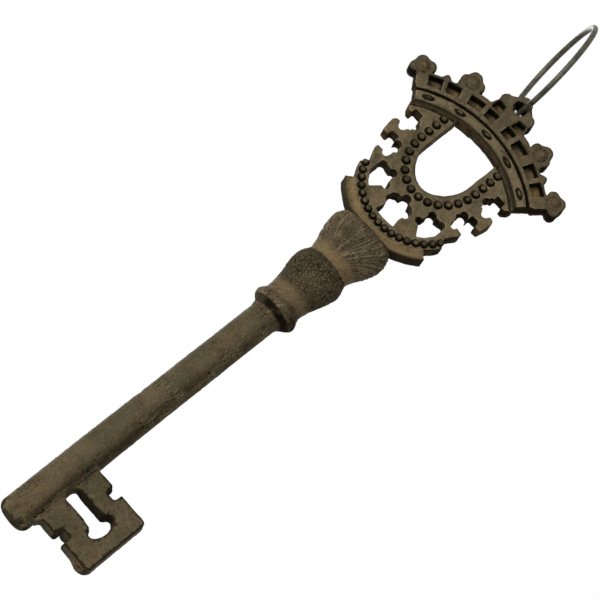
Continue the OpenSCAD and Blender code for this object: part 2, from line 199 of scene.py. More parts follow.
def new_material(name: str) -> tuple[Material, NodeTree, Node]:
    """A plain node material, to be worked up into a finish.

    Args:
        name: the material's name.

    Returns:
        The material, its tree and its shader.
    """
    material = bpy.data.materials.new(name)
    material.use_nodes = True
    return material, material.node_tree, material.node_tree.nodes["Principled BSDF"]


def new_object(name: str, data: bpy.types.ID) -> Object:
    """A new object in the scene.

    Args:
        name: the object's name.
        data: the mesh, camera or lamp that it holds.

    Returns:
        The object.
    """
    obj = bpy.data.objects.new(name, data)
    bpy.context.scene.collection.objects.link(obj)
    return obj


@dataclass(frozen=True)
class CastIronFinish:
    """Grey iron, sand cast, oiled and handled until it has an even brown patina.

    The sand leaves a skin of fine grains and pits. The raised parts have been rubbed to a dull
    brown-grey and carry painted highlights, the walls and hollows keep a near-black film that also
    carries painted shade, and rust shows where water sat.
    """

    name: str
    face: str = "#584c38"
    face_dark: str = "#3a3424"
    # Where damp has been, the patina is greener and greyer
    damp: str = "#4a4b38"
    # Rubbed metal, also the colour of the painted highlights
    rubbed_and_highlight: str = "#7d6f55"
    # The near-black film, also the colour of the painted shade on walls, in hollows and under the lip
    film: str = "#110e07"
    rust: str = "#776345"
    fresh_rust: str = "#977038"
    # The amount of rust from which it starts to look fresh
    fresh_from: float = 0.85
    # Roughness of the bare skin, how far its grains vary it, and roughness of the film in the hollows,
    # which is dry and has hardly any shine
    roughness: float = 0.6
    roughness_spread: float = 0.12
    film_roughness: float = 0.95
    # The dulled skin reflects less than clean iron oxide would
    specular: float = 0.03
    # Sizes of the skin's grains and lumps, and of the patina's damp and dark patches. Real sand grains
    # are a third of this, too fine to show in the render
    grain_mm: float = 0.72
    lump_mm: float = 3.6
    damp_mm: float = 6.5
    patch_mm: float = 17.0
    # How much film lies between the grains, and how much more of it where the skin is pitted
    film_in_grain: float = 0.46
    film_in_pits: float = 0.56
    # The bump's depth and strength, and the shares in it of the grains, of deeper ones where the skin
    # is pitted, and of the lumps
    bump_mm: float = 0.7
    bump_strength: float = 0.9
    grain_share: float = 0.45
    pitted_share: float = 0.5
    lump_share: float = 0.5

    def build(self) -> Material:
        """Builds the node material.

        Returns:
            The material.
        """
        material, tree, shader = new_material(self.name)
        place = add_node(tree, "ShaderNodeTexCoord").outputs["Object"]
        stain = {}
        for kind in Stain:
            stain[kind] = add_node(tree, "ShaderNodeAttribute", attribute_name=kind.value).outputs["Fac"]
        noise = {}
        details = {self.grain_mm: 3.0, self.lump_mm: 2.0, self.damp_mm: 4.0, self.patch_mm: 3.0}
        for size_mm, detail in details.items():
            inputs = {"Vector": place, "Scale": 1 / (size_mm * MM), "Detail": detail, "Roughness": 0.6}
            noise[size_mm] = add_node(tree, "ShaderNodeTexNoise", inputs).outputs["Fac"]
        grain, lumps = noise[self.grain_mm], noise[self.lump_mm]
        inputs = {0: stain[Stain.PITTED], 1: self.film_in_pits, 2: self.film_in_grain}
        pores = add_node(tree, "ShaderNodeMath", inputs, operation="MULTIPLY_ADD").outputs[0]
        inputs = {"Value": stain[Stain.RUSTY], "From Min": self.fresh_from, "From Max": 1.0}
        fresh = add_node(tree, "ShaderNodeMapRange", inputs).outputs["Result"]

        # Each layer of colour lies over the last: the pattern that breaks it up, the pattern's values
        # where it starts and where it is full, how thick it is there, what it follows, and its colour
        layers = (
            (noise[self.patch_mm], 0.36, 0.66, 0.62, 1.0, self.face_dark),
            (noise[self.damp_mm], 0.45, 0.64, 0.5, 1.0, self.damp),
            (lumps, 0.3, 0.6, 0.75, stain[Stain.WORN_AND_HIGHLIGHT], self.rubbed_and_highlight),
            (lumps, 0.55, 0.78, 0.3, 1.0, self.rust),
            (lumps, 0.2, 0.62, 1.0, stain[Stain.RUSTY], self.rust),
            (lumps, 0.35, 0.6, 0.9, fresh, self.fresh_rust),
            (grain, 0.5, 0.64, 1.0, pores, self.film),
        )
        colour = linear(self.face)
        for pattern, low, high, top, share, shade in layers:
            inputs = {"Value": pattern, "From Min": low, "From Max": high, "To Max": top}
            spread = add_node(tree, "ShaderNodeMapRange", inputs, interpolation_type="SMOOTHSTEP")
            inputs = {0: spread.outputs["Result"], 1: share}
            cover = add_node(tree, "ShaderNodeMath", inputs, operation="MULTIPLY").outputs[0]
            inputs = {0: cover, 6: colour, 7: linear(shade)}
            colour = add_node(tree, "ShaderNodeMix", inputs, data_type="RGBA").outputs[2]
        # The film and the painted shade go on over every layer
        inputs = {0: stain[Stain.FILM_AND_SHADE], 6: colour, 7: linear(self.film)}
        colour = add_node(tree, "ShaderNodeMix", inputs, data_type="RGBA").outputs[2]
        tree.links.new(colour, shader.inputs["Base Color"])

        shader.inputs["Specular IOR Level"].default_value = self.specular
        low, high = self.roughness - self.roughness_spread, self.roughness + self.roughness_spread
        inputs = {"Value": grain, "From Min": 0.3, "From Max": 0.7, "To Min": low, "To Max": high}
        bare = add_node(tree, "ShaderNodeMapRange", inputs).outputs["Result"]
        inputs = {"Value": stain[Stain.FILM_AND_SHADE], "To Min": bare, "To Max": self.film_roughness}
        dull = add_node(tree, "ShaderNodeMapRange", inputs).outputs["Result"]
        tree.links.new(dull, shader.inputs["Roughness"])

        inputs = {0: stain[Stain.PITTED], 1: self.pitted_share, 2: self.grain_share}
        coarse = add_node(tree, "ShaderNodeMath", inputs, operation="MULTIPLY_ADD").outputs[0]
        inputs = {0: lumps, 1: self.lump_share}
        swell = add_node(tree, "ShaderNodeMath", inputs, operation="MULTIPLY").outputs[0]
        inputs = {0: grain, 1: coarse, 2: swell}
        height = add_node(tree, "ShaderNodeMath", inputs, operation="MULTIPLY_ADD").outputs[0]
        inputs = {"Height": height, "Strength": self.bump_strength, "Distance": self.bump_mm * MM}
        tree.links.new(add_node(tree, "ShaderNodeBump", inputs).outputs["Normal"], shader.inputs["Normal"])
        return material


@dataclass(frozen=True)
class WireFinish:
    """Drawn steel wire, dulled by age.

    Drawing leaves it smooth and a little shiny along its length, under a thin green-grey film.
    """

    name: str = "aged_drawn_steel_wire"
    bare: str = "#4c4a38"
    film: str = "#2c2c20"
    metallic: float = 0.4
    # Roughness of the bare metal at its smoothest and of the thickest film
    roughness: tuple[float, float] = (0.32, 0.57)
    # Blotches of film about 4 mm long, and a fine skin of half a millimetre
    blotch_mm: float = 4.0
    skin_mm: float = 0.5
    bump_mm: float = 0.15
    bump_strength: float = 0.3

    def build(self) -> Material:
        """Builds the node material.

        Returns:
            The material.
        """
        material, tree, shader = new_material(self.name)
        place = add_node(tree, "ShaderNodeTexCoord").outputs["Object"]
        noise = []
        for size_mm in (self.blotch_mm, self.skin_mm):
            inputs = {"Vector": place, "Scale": 1 / (size_mm * MM), "Detail": 3.0}
            noise.append(add_node(tree, "ShaderNodeTexNoise", inputs).outputs["Fac"])
        blotch, skin = noise
        ramp = add_node(tree, "ShaderNodeValToRGB", {"Fac": blotch})
        for element, position, colour in zip(ramp.color_ramp.elements, (0.36, 0.64), (self.film, self.bare)):
            element.position = position
            element.color = linear(colour)
        tree.links.new(ramp.outputs["Color"], shader.inputs["Base Color"])
        shader.inputs["Metallic"].default_value = self.metallic
        inputs = {"Value": blotch, "To Min": self.roughness[0], "To Max": self.roughness[1]}
        gloss = add_node(tree, "ShaderNodeMapRange", inputs).outputs["Result"]
        tree.links.new(gloss, shader.inputs["Roughness"])
        inputs = {"Height": skin, "Strength": self.bump_strength, "Distance": self.bump_mm * MM}
        tree.links.new(add_node(tree, "ShaderNodeBump", inputs).outputs["Normal"], shader.inputs["Normal"])
        return material


@dataclass(frozen=True)
class Drawing:
    """The part's own drawing: millimetres from the middle of the stem's end.

    X goes towards the bit, Y towards the back and Z up the stem.
    """

    zero: Vector
    low: Vector
    high: Vector

    @classmethod
    def of_frame(cls) -> Drawing:
        """Finds the drawing's zero from the shank, which is round about its axis.

        Returns:
            The drawing.
        """
        low, high = map(Vector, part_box("shank"))
        middle = (low + high) / 2
        return cls(Vector((middle.x, middle.y, low.z)), *map(Vector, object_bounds()))

    def point(self, x: float, y: float, z: float) -> Vector:
        """A point of the drawing, in metres in the frame."""
        return self.zero + Vector((x, y, z)) * MM

    def mm(self, points: np.ndarray) -> np.ndarray:
        """Points of the frame, in the drawing's millimetres."""
        return (points - np.array(self.zero)) / MM

    def metres(self, at: np.ndarray) -> np.ndarray:
        """Points of the drawing in the frame, kept inside the CAD model's box."""
        return np.clip(at * MM + np.array(self.zero), np.array(self.low), np.array(self.high))


def smooth_step(values: np.ndarray, low: float, high: float) -> np.ndarray:
    """An S-shaped rise from none at low to one at high, or a fall where low is the greater."""
    t = np.clip((values - low) / (high - low), 0.0, 1.0)
    return t * t * (3.0 - 2.0 * t)


def between(values: np.ndarray, start: float, low: float, high: float, end: float) -> np.ndarray:
    """One between low and high, fading to none at the start and at the end."""
    return smooth_step(values, start, low) * smooth_step(values, end, high)


def ridge(values: np.ndarray, middle: float, width: float) -> np.ndarray:
    """One at the middle, fading to none on both sides."""
    return np.exp(-(((values - middle) / width) ** 2))


def most(*amounts: np.ndarray) -> np.ndarray:
    """The largest of several amounts at each point."""
    return np.maximum.reduce(amounts)


def from_centre(at: np.ndarray, z: float) -> np.ndarray:
    """The distance of each point from the stem's axis at one height, seen from the front."""
    return np.hypot(at[:, 0], at[:, 2] - z)


def stem_bow(z: np.ndarray) -> np.ndarray:
    """How far the casting's stem has bent towards the bit at each height, in millimetres."""
    return np.interp(z, [0, 90, 140, 205, 240, 252], [-0.15, 0.0, 0.4, 1.0, 1.0, 0.3])


def scatter(cells: np.ndarray, seed: int = 0) -> np.ndarray:
    """A number between none and one for each whole-numbered cell, the same in every run.

    Args:
        cells: three whole numbers for each cell.
        seed: picks one of many patterns.

    Returns:
        One number for each cell.
    """
    key = (cells @ CELL_MIX + SEED_MIX * seed) & 0xFFFFFFFF
    key = ((key ^ (key >> 13)) * SECOND_MIX) & 0xFFFFFFFF
    return ((key ^ (key >> 16)) & 0xFFFF) / 0xFFFF


def lumpy(at: np.ndarray, size_mm: float, seed: int, octaves: int = 2) -> np.ndarray:
    """A smooth noise between about minus one and one, the same in every run.

    Args:
        at: points in millimetres.
        size_mm: the size of its lumps.
        seed: picks one of its many patterns.
        octaves: how many layers, each half the size of the last.

    Returns:
        One number for each point.
    """
    total = np.zeros(len(at))
    for octave in range(octaves):
        cell = at * (2**octave / size_mm) + SEED_SHIFT * seed + OCTAVE_SHIFT * octave
        low = np.floor(cell).astype(np.int64)
        t = smooth_step(cell - low, 0.0, 1.0)
        for corner in range(8):
            step = np.array([corner & 1, corner >> 1 & 1, corner >> 2])
            share = np.prod(np.where(step, t, 1 - t), axis=1)
            total += share * (2 * scatter(low + step) - 1) * 0.5**octave
    return total / (2 - 0.5 ** (octaves - 1))


def crazed(at: np.ndarray, size_mm: float, seed: int) -> np.ndarray:
    """How far each point lies from the edge of its cell, in a net of uneven cells.

    Args:
        at: points in millimetres.
        size_mm: the size of a cell.
        seed: picks one of its many patterns.

    Returns:
        None on the net's threads, up to about one in the cells.
    """
    place = at / size_mm + SEED_SHIFT * seed
    low = np.floor(place).astype(np.int64)
    first = second = np.full(len(at), np.inf)
    for step in np.ndindex(3, 3, 3):
        cell = low + np.array(step) - 1
        middle = cell + np.stack([scatter(cell, seed + axis) for axis in (1, 2, 3)], 1)
        gap = np.linalg.norm(place - middle, axis=1)
        second = np.minimum(second, np.maximum(first, gap))
        first = np.minimum(first, gap)
    return second - first


@dataclass(frozen=True)
class Mottle:
    """Soft-edged patches that a noise makes on a surface."""

    size_mm: float
    seed: int
    # The noise's values where a patch starts and where it is full
    low: float
    high: float
    octaves: int = 2

    def lines(self, at: np.ndarray) -> np.ndarray:
        """How much of a line each point lies on, where the lines run along the noise's zeros."""
        return smooth_step(np.abs(lumpy(at, self.size_mm, self.seed, self.octaves)), self.low, self.high)

    def on(self, at: np.ndarray, extra: np.ndarray | float = 0.0) -> np.ndarray:
        """How much of a patch each point lies in, with something extra added to the noise."""
        return smooth_step(lumpy(at, self.size_mm, self.seed, self.octaves) + extra, self.low, self.high)


def distances(path: np.ndarray) -> np.ndarray:
    """How far along a path of x and z each of its points lies."""
    return np.concatenate([[0], np.cumsum(np.hypot(*np.diff(path, axis=0).T))])


def points_at(path: np.ndarray, steps: np.ndarray) -> np.ndarray:
    """The points at given distances along a path of x and z."""
    return np.stack([np.interp(steps, distances(path), path[:, axis]) for axis in (0, 1)], 1)


def arc(middle_z: float, radius: float, half_deg: float, count: int = 200) -> np.ndarray:
    """A line of points on an arc about the stem's axis, from left to right.

    Args:
        middle_z: the height of the arc's centre.
        radius: its radius, below none for an arc under its centre.
        half_deg: how far it runs to each side.
        count: the number of points.

    Returns:
        The points, as x and z.
    """
    a = np.radians(np.linspace(-half_deg, half_deg, count))
    return np.stack([abs(radius) * np.sin(a), middle_z + radius * np.cos(a)], 1)


def merged_solids(frame: dict, nodes: tuple[str, ...]) -> Mesh:
    """One mesh from copies of CAD nodes, with their loose triangles joined.

    Args:
        nodes: the CAD nodes' names.

    Returns:
        The new mesh.
    """
    bm = bmesh.new()
    for name in nodes:
        bm.from_mesh(frame["nodes"][name].data)
    bmesh.ops.remove_doubles(bm, verts=bm.verts, dist=1e-6)
    mesh = bpy.data.meshes.new("solids")
    bm.to_mesh(mesh)
    bm.free()
    mesh.materials.clear()
    return mesh


def baked(obj: Object) -> Mesh:
    """The object's evaluated mesh, with its modifiers taken off.

    Args:
        obj: an object with live modifiers.

    Returns:
        A plain mesh, which the object now holds.
    """
    graph = bpy.context.evaluated_depsgraph_get()
    graph.update()
    mesh = bpy.data.meshes.new_from_object(obj.evaluated_get(graph))
    obj.modifiers.clear()
    obj.data = mesh
    return mesh


def placed(obj: Object, nodes: tuple[str, ...], body: Body) -> Object:
    """Shades a finished piece smoothly, hides the CAD nodes that it stands for and puts it on its body.

    Args:
        obj: the piece.
        nodes: the CAD nodes that it replaces.
        body: the body that it rides on.

    Returns:
        The piece.
    """
    obj.data.shade_smooth()
    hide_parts(*nodes)
    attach(obj, body.value)
    log.info("%s: %d faces, for %s", obj.name, len(obj.data.polygons), ", ".join(nodes))
    return obj


class Surface:
    """The points of a mesh in the drawing's millimetres, and the edges between them."""

    def __init__(self, mesh: Mesh, drawing: Drawing) -> None:
        """Reads the mesh's edges.

        Args:
            mesh: the mesh to work on.
            drawing: the drawing that its points are given in.
        """
        self.mesh = mesh
        self.drawing = drawing
        self.ends = self.read("vertices", mesh.edges, 2, np.int32)
        self.ways = np.bincount(self.ends.ravel(), minlength=len(mesh.vertices))

    def read(
        self, name: str, rows: bpy.types.bpy_prop_collection, width: int, kind: type = np.float64
    ) -> np.ndarray:
        """One property of all the mesh's points or edges.

        Args:
            name: the property's name.
            rows: the mesh's points or edges.
            width: how many numbers each one has.
            kind: what the numbers are.

        Returns:
            A row of numbers for each point or edge.
        """
        flat = np.empty(len(rows) * width, dtype=kind)
        rows.foreach_get(name, flat)
        return flat.reshape(-1, width)

    @property
    def at(self) -> np.ndarray:
        """The points."""
        return self.drawing.mm(self.read("co", self.mesh.vertices, 3))

    @property
    def facing(self) -> np.ndarray:
        """The unit normal of each point."""
        return self.read("normal", self.mesh.vertices, 3)

    def front(self, low: float = 0.5, high: float = 0.9) -> np.ndarray:
        """One where the surface faces the front, and none where it is a wall or the back."""
        return smooth_step(-self.facing[:, 1], low, high)

    def walls(self) -> np.ndarray:
        """One on a wall, which a rub over the front or back doesn't reach and which is painted darker for
        its shade, and none on a face.
        """
        return smooth_step(np.abs(self.facing[:, 1]), 0.8, 0.3)

    def hollowness(self) -> np.ndarray:
        """How far each point lies below the average of what is a millimetre round it."""
        at = self.at
        return np.sum((self.blurred(at, 10) - at) * self.facing, axis=1)

    def blurred(self, rows: np.ndarray, rounds: int, share: np.ndarray | float = 1.0) -> np.ndarray:
        """Evens out one row of values for each point with its neighbours'.

        Args:
            rows: the values.
            rounds: how often to do it.
            share: how much of it each point takes part in.

        Returns:
            The evened values.
        """
        a, b = self.ends.T
        count = len(self.ways)
        for _ in range(rounds):
            sums = [np.bincount(a, row[b], count) + np.bincount(b, row[a], count) for row in rows.T]
            rows = rows + 0.5 * np.reshape(share, (-1, 1)) * (np.stack(sums, 1) / self.ways[:, None] - rows)
        return rows

    def move(self, at: np.ndarray) -> None:
        """Moves the points."""
        self.mesh.vertices.foreach_set("co", self.drawing.metres(at).ravel())
        self.mesh.update()

    def raised(self, heights: np.ndarray) -> np.ndarray:
        """The points, each moved out of the surface by its height."""
        return self.at + self.facing * heights[:, None]

    def paint(self, stains: Stains) -> None:
        """Writes the stains on the mesh.

        Args:
            stains: the amount of each at each point.
        """
        for stain, values in stains.items():
            layer = self.mesh.attributes.new(stain.value, "FLOAT", "POINT")
            layer.data.foreach_set("value", np.clip(values, 0.0, 1.0).astype(np.float32))


@dataclass(frozen=True)
class Skin:
    """How rough and how soft a form of the casting is."""

    seed: int
    voxel_mm: float = 0.4
    # Rounds of smoothing that soften its edges, and how strong each one is
    rounding: int = 4
    softness: float = 0.5
    lump_mm: float = 0.3
    lump_size_mm: float = 6.0
    grain_mm: float = 0.14
    grain_size_mm: float = 1.4
    # The grains' pattern is this many seeds on from the lumps'
    grain_seed: int = 50

    def roughness(self, at: np.ndarray) -> np.ndarray:
        """The heights of its lumps and grains at each point."""
        lumps = self.lump_mm * lumpy(at, self.lump_size_mm, self.seed, 3)
        return lumps + self.grain_mm * lumpy(at, self.grain_size_mm, self.seed + self.grain_seed)


@dataclass
class Form:
    """A form of the casting, made again from its CAD solids.

    In the stains, the number that multiplies a place is how much of the stain it gets, where one is
    all that there can be. Two numbers after a distance are where something starts and is full.
    """

    drawing: Drawing
    name: str
    nodes: tuple[str, ...]
    slot: Slot
    skin: Skin

    def build(self, frame: dict, finish: Material) -> Object:
        """Makes the piece and puts it on its body.

        Args:
            finish: the material to dress it in.

        Returns:
            The finished piece.
        """
        obj = new_object(self.name, merged_solids(frame, self.nodes))
        remesh = obj.modifiers.new("voxels", "REMESH")
        remesh.mode = "VOXEL"
        remesh.voxel_size = self.skin.voxel_mm * MM
        soften = obj.modifiers.new("soften", "SMOOTH")
        soften.factor = self.skin.softness
        soften.iterations = self.skin.rounding
        surface = Surface(baked(obj), self.drawing)
        surface.move(self.shape(surface))
        surface.move(surface.raised(self.relief(surface) + self.skin.roughness(surface.at)))
        surface.paint(self.stains(surface))
        surface.mesh.materials.append(finish)
        return placed(obj, self.nodes, Body.KEY)

    def shape(self, surface: Surface) -> np.ndarray:
        """The points, with the broad forms that the plain solids leave out."""
        return surface.at

    def relief(self, surface: Surface) -> np.ndarray:
        """The heights of the form's own relief, out of its surface."""
        return np.zeros(len(surface.at))

    def stains(self, surface: Surface) -> Stains:
        """Where the film and painted shade, the rubbed metal and painted highlights, the rust and the pits
        lie.

        Args:
            surface: the form with its relief.

        Returns:
            The amount of each stain at each point.
        """
        hollowness = surface.hollowness()
        return {
            # Hollows get the film and painted shade, and ridges rubbed metal with a painted highlight
            Stain.FILM_AND_SHADE: smooth_step(hollowness, *HOLLOW_MM),
            Stain.WORN_AND_HIGHLIGHT: smooth_step(-hollowness, *RIDGE_MM),
            Stain.RUSTY: np.zeros(len(hollowness)),
            Stain.PITTED: np.zeros(len(hollowness)),
        }


@dataclass
class Stem(Form):
    """The round shank with its end, the plate bit with its slot, and the collar."""

    shank_r: float = 9.6
    # The bit: where it leaves the shank, its outer, lower and upper edges, its front face, the middle
    # of its notches, and the middle and floor of its slot
    root_x: float = 10.0
    reach: float = 45.4
    bit_low: float = 11.5
    bit_high: float = 49.8
    bit_front: float = -6.0
    notch_x: float = 23.9
    slot_z: float = 31.2
    floor_z: float = 26.7
    # How far its walls have swelled at the back, how far its outer wall and the slot's floor stand
    # out, how much of the notch is filled at the back, and the lump of rust under its outer corner
    draft: float = 0.85
    outer_wall: float = 0.55
    slot_floor: float = 0.5
    notch_fill: float = 1.4
    lump: float = 1.5
    lump_x: float = 40.0
    # Where the slot's floor stops standing out, from the shank outwards
    floor_x: tuple[float, float] = (27.0, 23.5)
    # How much wider the shank's far side is low down, and the heights between which it widens
    swell: float = 0.35
    swell_z: tuple[float, float] = (110.0, 50.0)
    # The collar's rough lip, with a hollow under it, and the crease above
    lip_z: float = 179.4
    crease_z: float = 185.8
    # Rounds of smoothing that fill the corners beside the shank and round the bit's edges
    fillet_rounds: int = 70
    edge_rounds: int = 6
    # Depths of the flaws, the pits, the pits on the bit and the hollow under the lip
    flaw_mm: float = 0.35
    pit_mm: float = 0.32
    bit_pit_mm: float = 0.08
    under_lip_mm: float = 0.9
    # Angles about the shank, from the front towards the bit: of the side with the flaws, of the line of
    # painted shade down it, of the painted shade in the corner beside the bit, and of the darkest painted
    # shadow under the lip
    flawed_deg: tuple[float, float, float, float] = (12.0, 35.0, 70.0, 95.0)
    dark_side_deg: float = 48.0
    dark_corner_deg: float = 42.0
    dark_lip_deg: float = 30.0
    # The walls of the slot and the notches get less painted shade under these heights
    lighter_cut_z: tuple[float, float] = (18.0, 24.0)
    # The flaws are long ones, and the pits a little higher than wide
    flaw_stretch: tuple[float, float, float] = (1.0, 1.0, 0.16)
    pit_stretch: tuple[float, float, float] = (1.0, 1.0, 0.7)
    flaws: Mottle = Mottle(1.7, 5, -0.05, 0.45)
    pits: Mottle = Mottle(1.8, 9, 0.05, 0.5)
    rough: Mottle = Mottle(15.0, 7, 0.0, 0.35)
    rough_film: Mottle = Mottle(15.0, 7, 0.0, 0.4)
    # Patches in the painted shadow under the lip and in the painted shade down the side
    lip_shadow: Mottle = Mottle(4.0, 21, -0.3, 0.2)
    side_shade: Mottle = Mottle(11.0, 23, -0.35, 0.3)
    end_blotches: Mottle = Mottle(3.5, 25, -0.1, 0.35)

    def around(self, at: np.ndarray) -> np.ndarray:
        """The angle about the shank, in degrees from the front towards the bit."""
        return np.degrees(np.arctan2(at[:, 0] - stem_bow(at[:, 2]), -at[:, 1]))

    def under_lip(self, at: np.ndarray) -> np.ndarray:
        """One in the hollow under the collar's lip."""
        return between(at[:, 2] - self.lip_z, -5.8, -3.8, -1.6, -0.6)

    def softened(self, surface: Surface) -> np.ndarray:
        """Fills the corners beside the shank and rounds the bit's edges.

        Args:
            surface: the remeshed solids.

        Returns:
            The moved points.
        """
        at = surface.at
        x, y, z = at.T
        corner = ridge(x, self.root_x - 2, 3.0) * smooth_step(np.abs(y), 3.0, 5.0)
        corner *= between(z, self.bit_low - 2, self.bit_low + 1, self.bit_high - 1, self.bit_high + 2)
        slot_end = between(x - self.root_x, -2.5, -0.5, 1.0, 5.0) * ridge(z, self.slot_z, 5.2)
        at = surface.blurred(at, self.fillet_rounds, most(corner, slot_end))
        x, y, z = at.T
        edges = between(x, self.root_x, self.root_x + 2, self.reach - 5, self.reach - 3)
        return surface.blurred(at, self.edge_rounds, edges * smooth_step(np.abs(y), 3.5, 5.0))

    def shape(self, surface: Surface) -> np.ndarray:
        """Softens the corners, drafts the bit's walls and bends the stem.

        Args:
            surface: the remeshed solids.

        Returns:
            The moved points.
        """
        at, facing = self.softened(surface), surface.facing
        x, y, z = at.T
        on_bit = smooth_step(x, self.root_x, self.root_x + 3)
        back = smooth_step(y, self.bit_front + 1.0, -self.bit_front)
        outer = smooth_step(x, self.reach - 2.5, self.reach - 0.5)
        floor = smooth_step(facing[:, 2], 0.1, 0.5) * ridge(z, self.floor_z, 2.4)
        floor *= smooth_step(x, *self.floor_x)
        notch = ridge(x, self.notch_x, 3.0) * smooth_step(z, self.bit_low + 2, self.bit_low + 4)
        notch *= z < self.bit_low + 8
        lump = ridge(x, self.lump_x, 4.0) * (z < self.bit_low + 1) * smooth_step(y, self.bit_front, -2.0)
        underside = smooth_step(-facing[:, 2], 0.5, 0.9)
        out = facing * (surface.walls() * on_bit * back * self.draft * (1 - 0.85 * outer))[:, None]
        out[:, 0] += self.outer_wall * outer
        out[:, 1] = 0.0
        out[:, 2] += self.slot_floor * floor * on_bit
        out[:, 2] -= underside * on_bit * (self.notch_fill * notch * back + self.lump * lump)
        at = at + out
        swollen = smooth_step(at[:, 2], *self.swell_z) * smooth_step(-at[:, 0], 0.0, self.shank_r)
        at[:, 0] += stem_bow(at[:, 2]) - self.swell * swollen
        return at

    def relief(self, surface: Surface) -> np.ndarray:
        """Pits in patches, long flaws down the side towards the bit, and the rough lip.

        Args:
            surface: the shaped form.

        Returns:
            The height of the relief at each point.
        """
        at = surface.at
        on_shank = smooth_step(at[:, 0], self.root_x + 0.5, self.root_x - 1.5)
        side = between(self.around(at), *self.flawed_deg)
        lip = ridge(at[:, 2], self.lip_z, 3.0)
        flaws = self.flaws.on(at * self.flaw_stretch) * side * (1 - 0.6 * lip)
        pits = self.pits.on(at * self.pit_stretch)
        depth = self.flaw_mm * flaws + self.pit_mm * pits * most(self.rough.on(at, 0.5 * side - 0.1), lip)
        depth += self.under_lip_mm * self.under_lip(at)
        return -on_shank * depth - (1 - on_shank) * self.bit_pit_mm * pits

    def stains(self, surface: Surface) -> Stains:
        """Film and painted shade on the bit's walls and edges, a painted shadow under the lip, painted shade
        down the shank's side and in the corner beside the bit, a darker end to the stem, a painted highlight
        on the lip, and some rust.

        Args:
            surface: the form with its relief.

        Returns:
            The amount of each stain at each point.
        """
        stains = super().stains(surface)
        at, walls = surface.at, surface.walls()
        around = self.around(at)
        x, y, z = at.T
        on_bit = smooth_step(x, self.root_x, self.root_x + 1.5)
        on_shank = 1 - on_bit
        # Painted shade on the bit's walls, darkest near the front, with the film
        film = on_bit * walls * (0.12 + 0.83 * ridge(y, self.bit_front + 0.6, 0.9))
        # Painted shade on the walls inside the slot and the notches, lighter low down
        inside = (x < self.reach - 1.5) & (z > self.bit_low + 1.5) & (z < self.bit_high - 1.5)
        cut = on_bit * walls * inside * (0.45 + 0.55 * smooth_step(z, *self.lighter_cut_z))
        # Film and painted shade along the bit's rounded edges
        edge = on_bit * smooth_step(-surface.hollowness(), *EDGE_MM)
        # A painted shadow under the collar's lip, darkest to one side
        under_lip = self.under_lip(at) * (0.75 + 0.25 * self.lip_shadow.on(at))
        under_lip *= 0.6 + 0.4 * smooth_step(np.abs(around - self.dark_lip_deg), 90.0, 45.0)
        blotches = self.end_blotches.on(at) * smooth_step(z, 9.0, 2.0) * on_shank
        end = most(0.55 * smooth_step(z, 1.2, 0.3), 0.75 * blotches)
        # A line of painted shade down the shank's side
        side = ridge(around, self.dark_side_deg, 24.0) * on_shank * self.side_shade.on(at)
        # Painted shade in the corner beside the bit
        corner = between(z, 4.0, 12.0, self.bit_high - 2, self.bit_high + 4) * on_shank
        corner *= ridge(around, self.dark_corner_deg, 14.0)
        stains[Stain.FILM_AND_SHADE] = most(
            stains[Stain.FILM_AND_SHADE], film, 0.75 * cut, 0.85 * edge, under_lip, end, 0.5 * side, 0.55 * corner
        )
        # A painted highlight along the top of the collar's lip
        lip = 0.45 * ridge(z, self.lip_z + 0.6, 1.2)
        stains[Stain.WORN_AND_HIGHLIGHT] = most(stains[Stain.WORN_AND_HIGHLIGHT], lip) * on_shank
        lump = 0.5 * ridge(x, self.lump_x, 5.0) * (z < self.bit_low + 1)
        stains[Stain.RUSTY] = most(0.6 * ridge(z, self.crease_z, 2.0), lump)
        rough = 0.6 * self.rough_film.on(at, 0.4 * side) * (1 - 0.9 * on_bit)
        stains[Stain.PITTED] = most(0.9 * ridge(z, self.lip_z, 5.0), rough)
        return stains


@dataclass
class Vase(Form):
    """One of the two vases of the stem that carry the bow."""

    foot_z: float = 186.5
    top_z: float = 220.0
    # How far the ends run on inside the neighbours, so that no gap shows
    tuck: float = 0.9
    # The crease between the two vases has sunk a little on the real casting
    waist_z: float = 220.0
    waist_drop: float = 1.3

    def shape(self, surface: Surface) -> np.ndarray:
        """Runs the ends into the neighbours, sinks the waist and bends the stem.

        Args:
            surface: the remeshed solids.

        Returns:
            The moved points.
        """
        at, up = surface.at, surface.facing[:, 2]
        z = at[:, 2]
        upper = smooth_step(up, 0.5, 0.9) * (z > self.top_z - 3) * (np.abs(at[:, 1]) < BOW_HALF)
        lower = smooth_step(-up, 0.5, 0.9) * (z < self.foot_z + 3)
        at[:, 2] += self.tuck * (upper - lower) - self.waist_drop * ridge(z, self.waist_z, 12.0)
        at[:, 0] += stem_bow(at[:, 2])
        return at


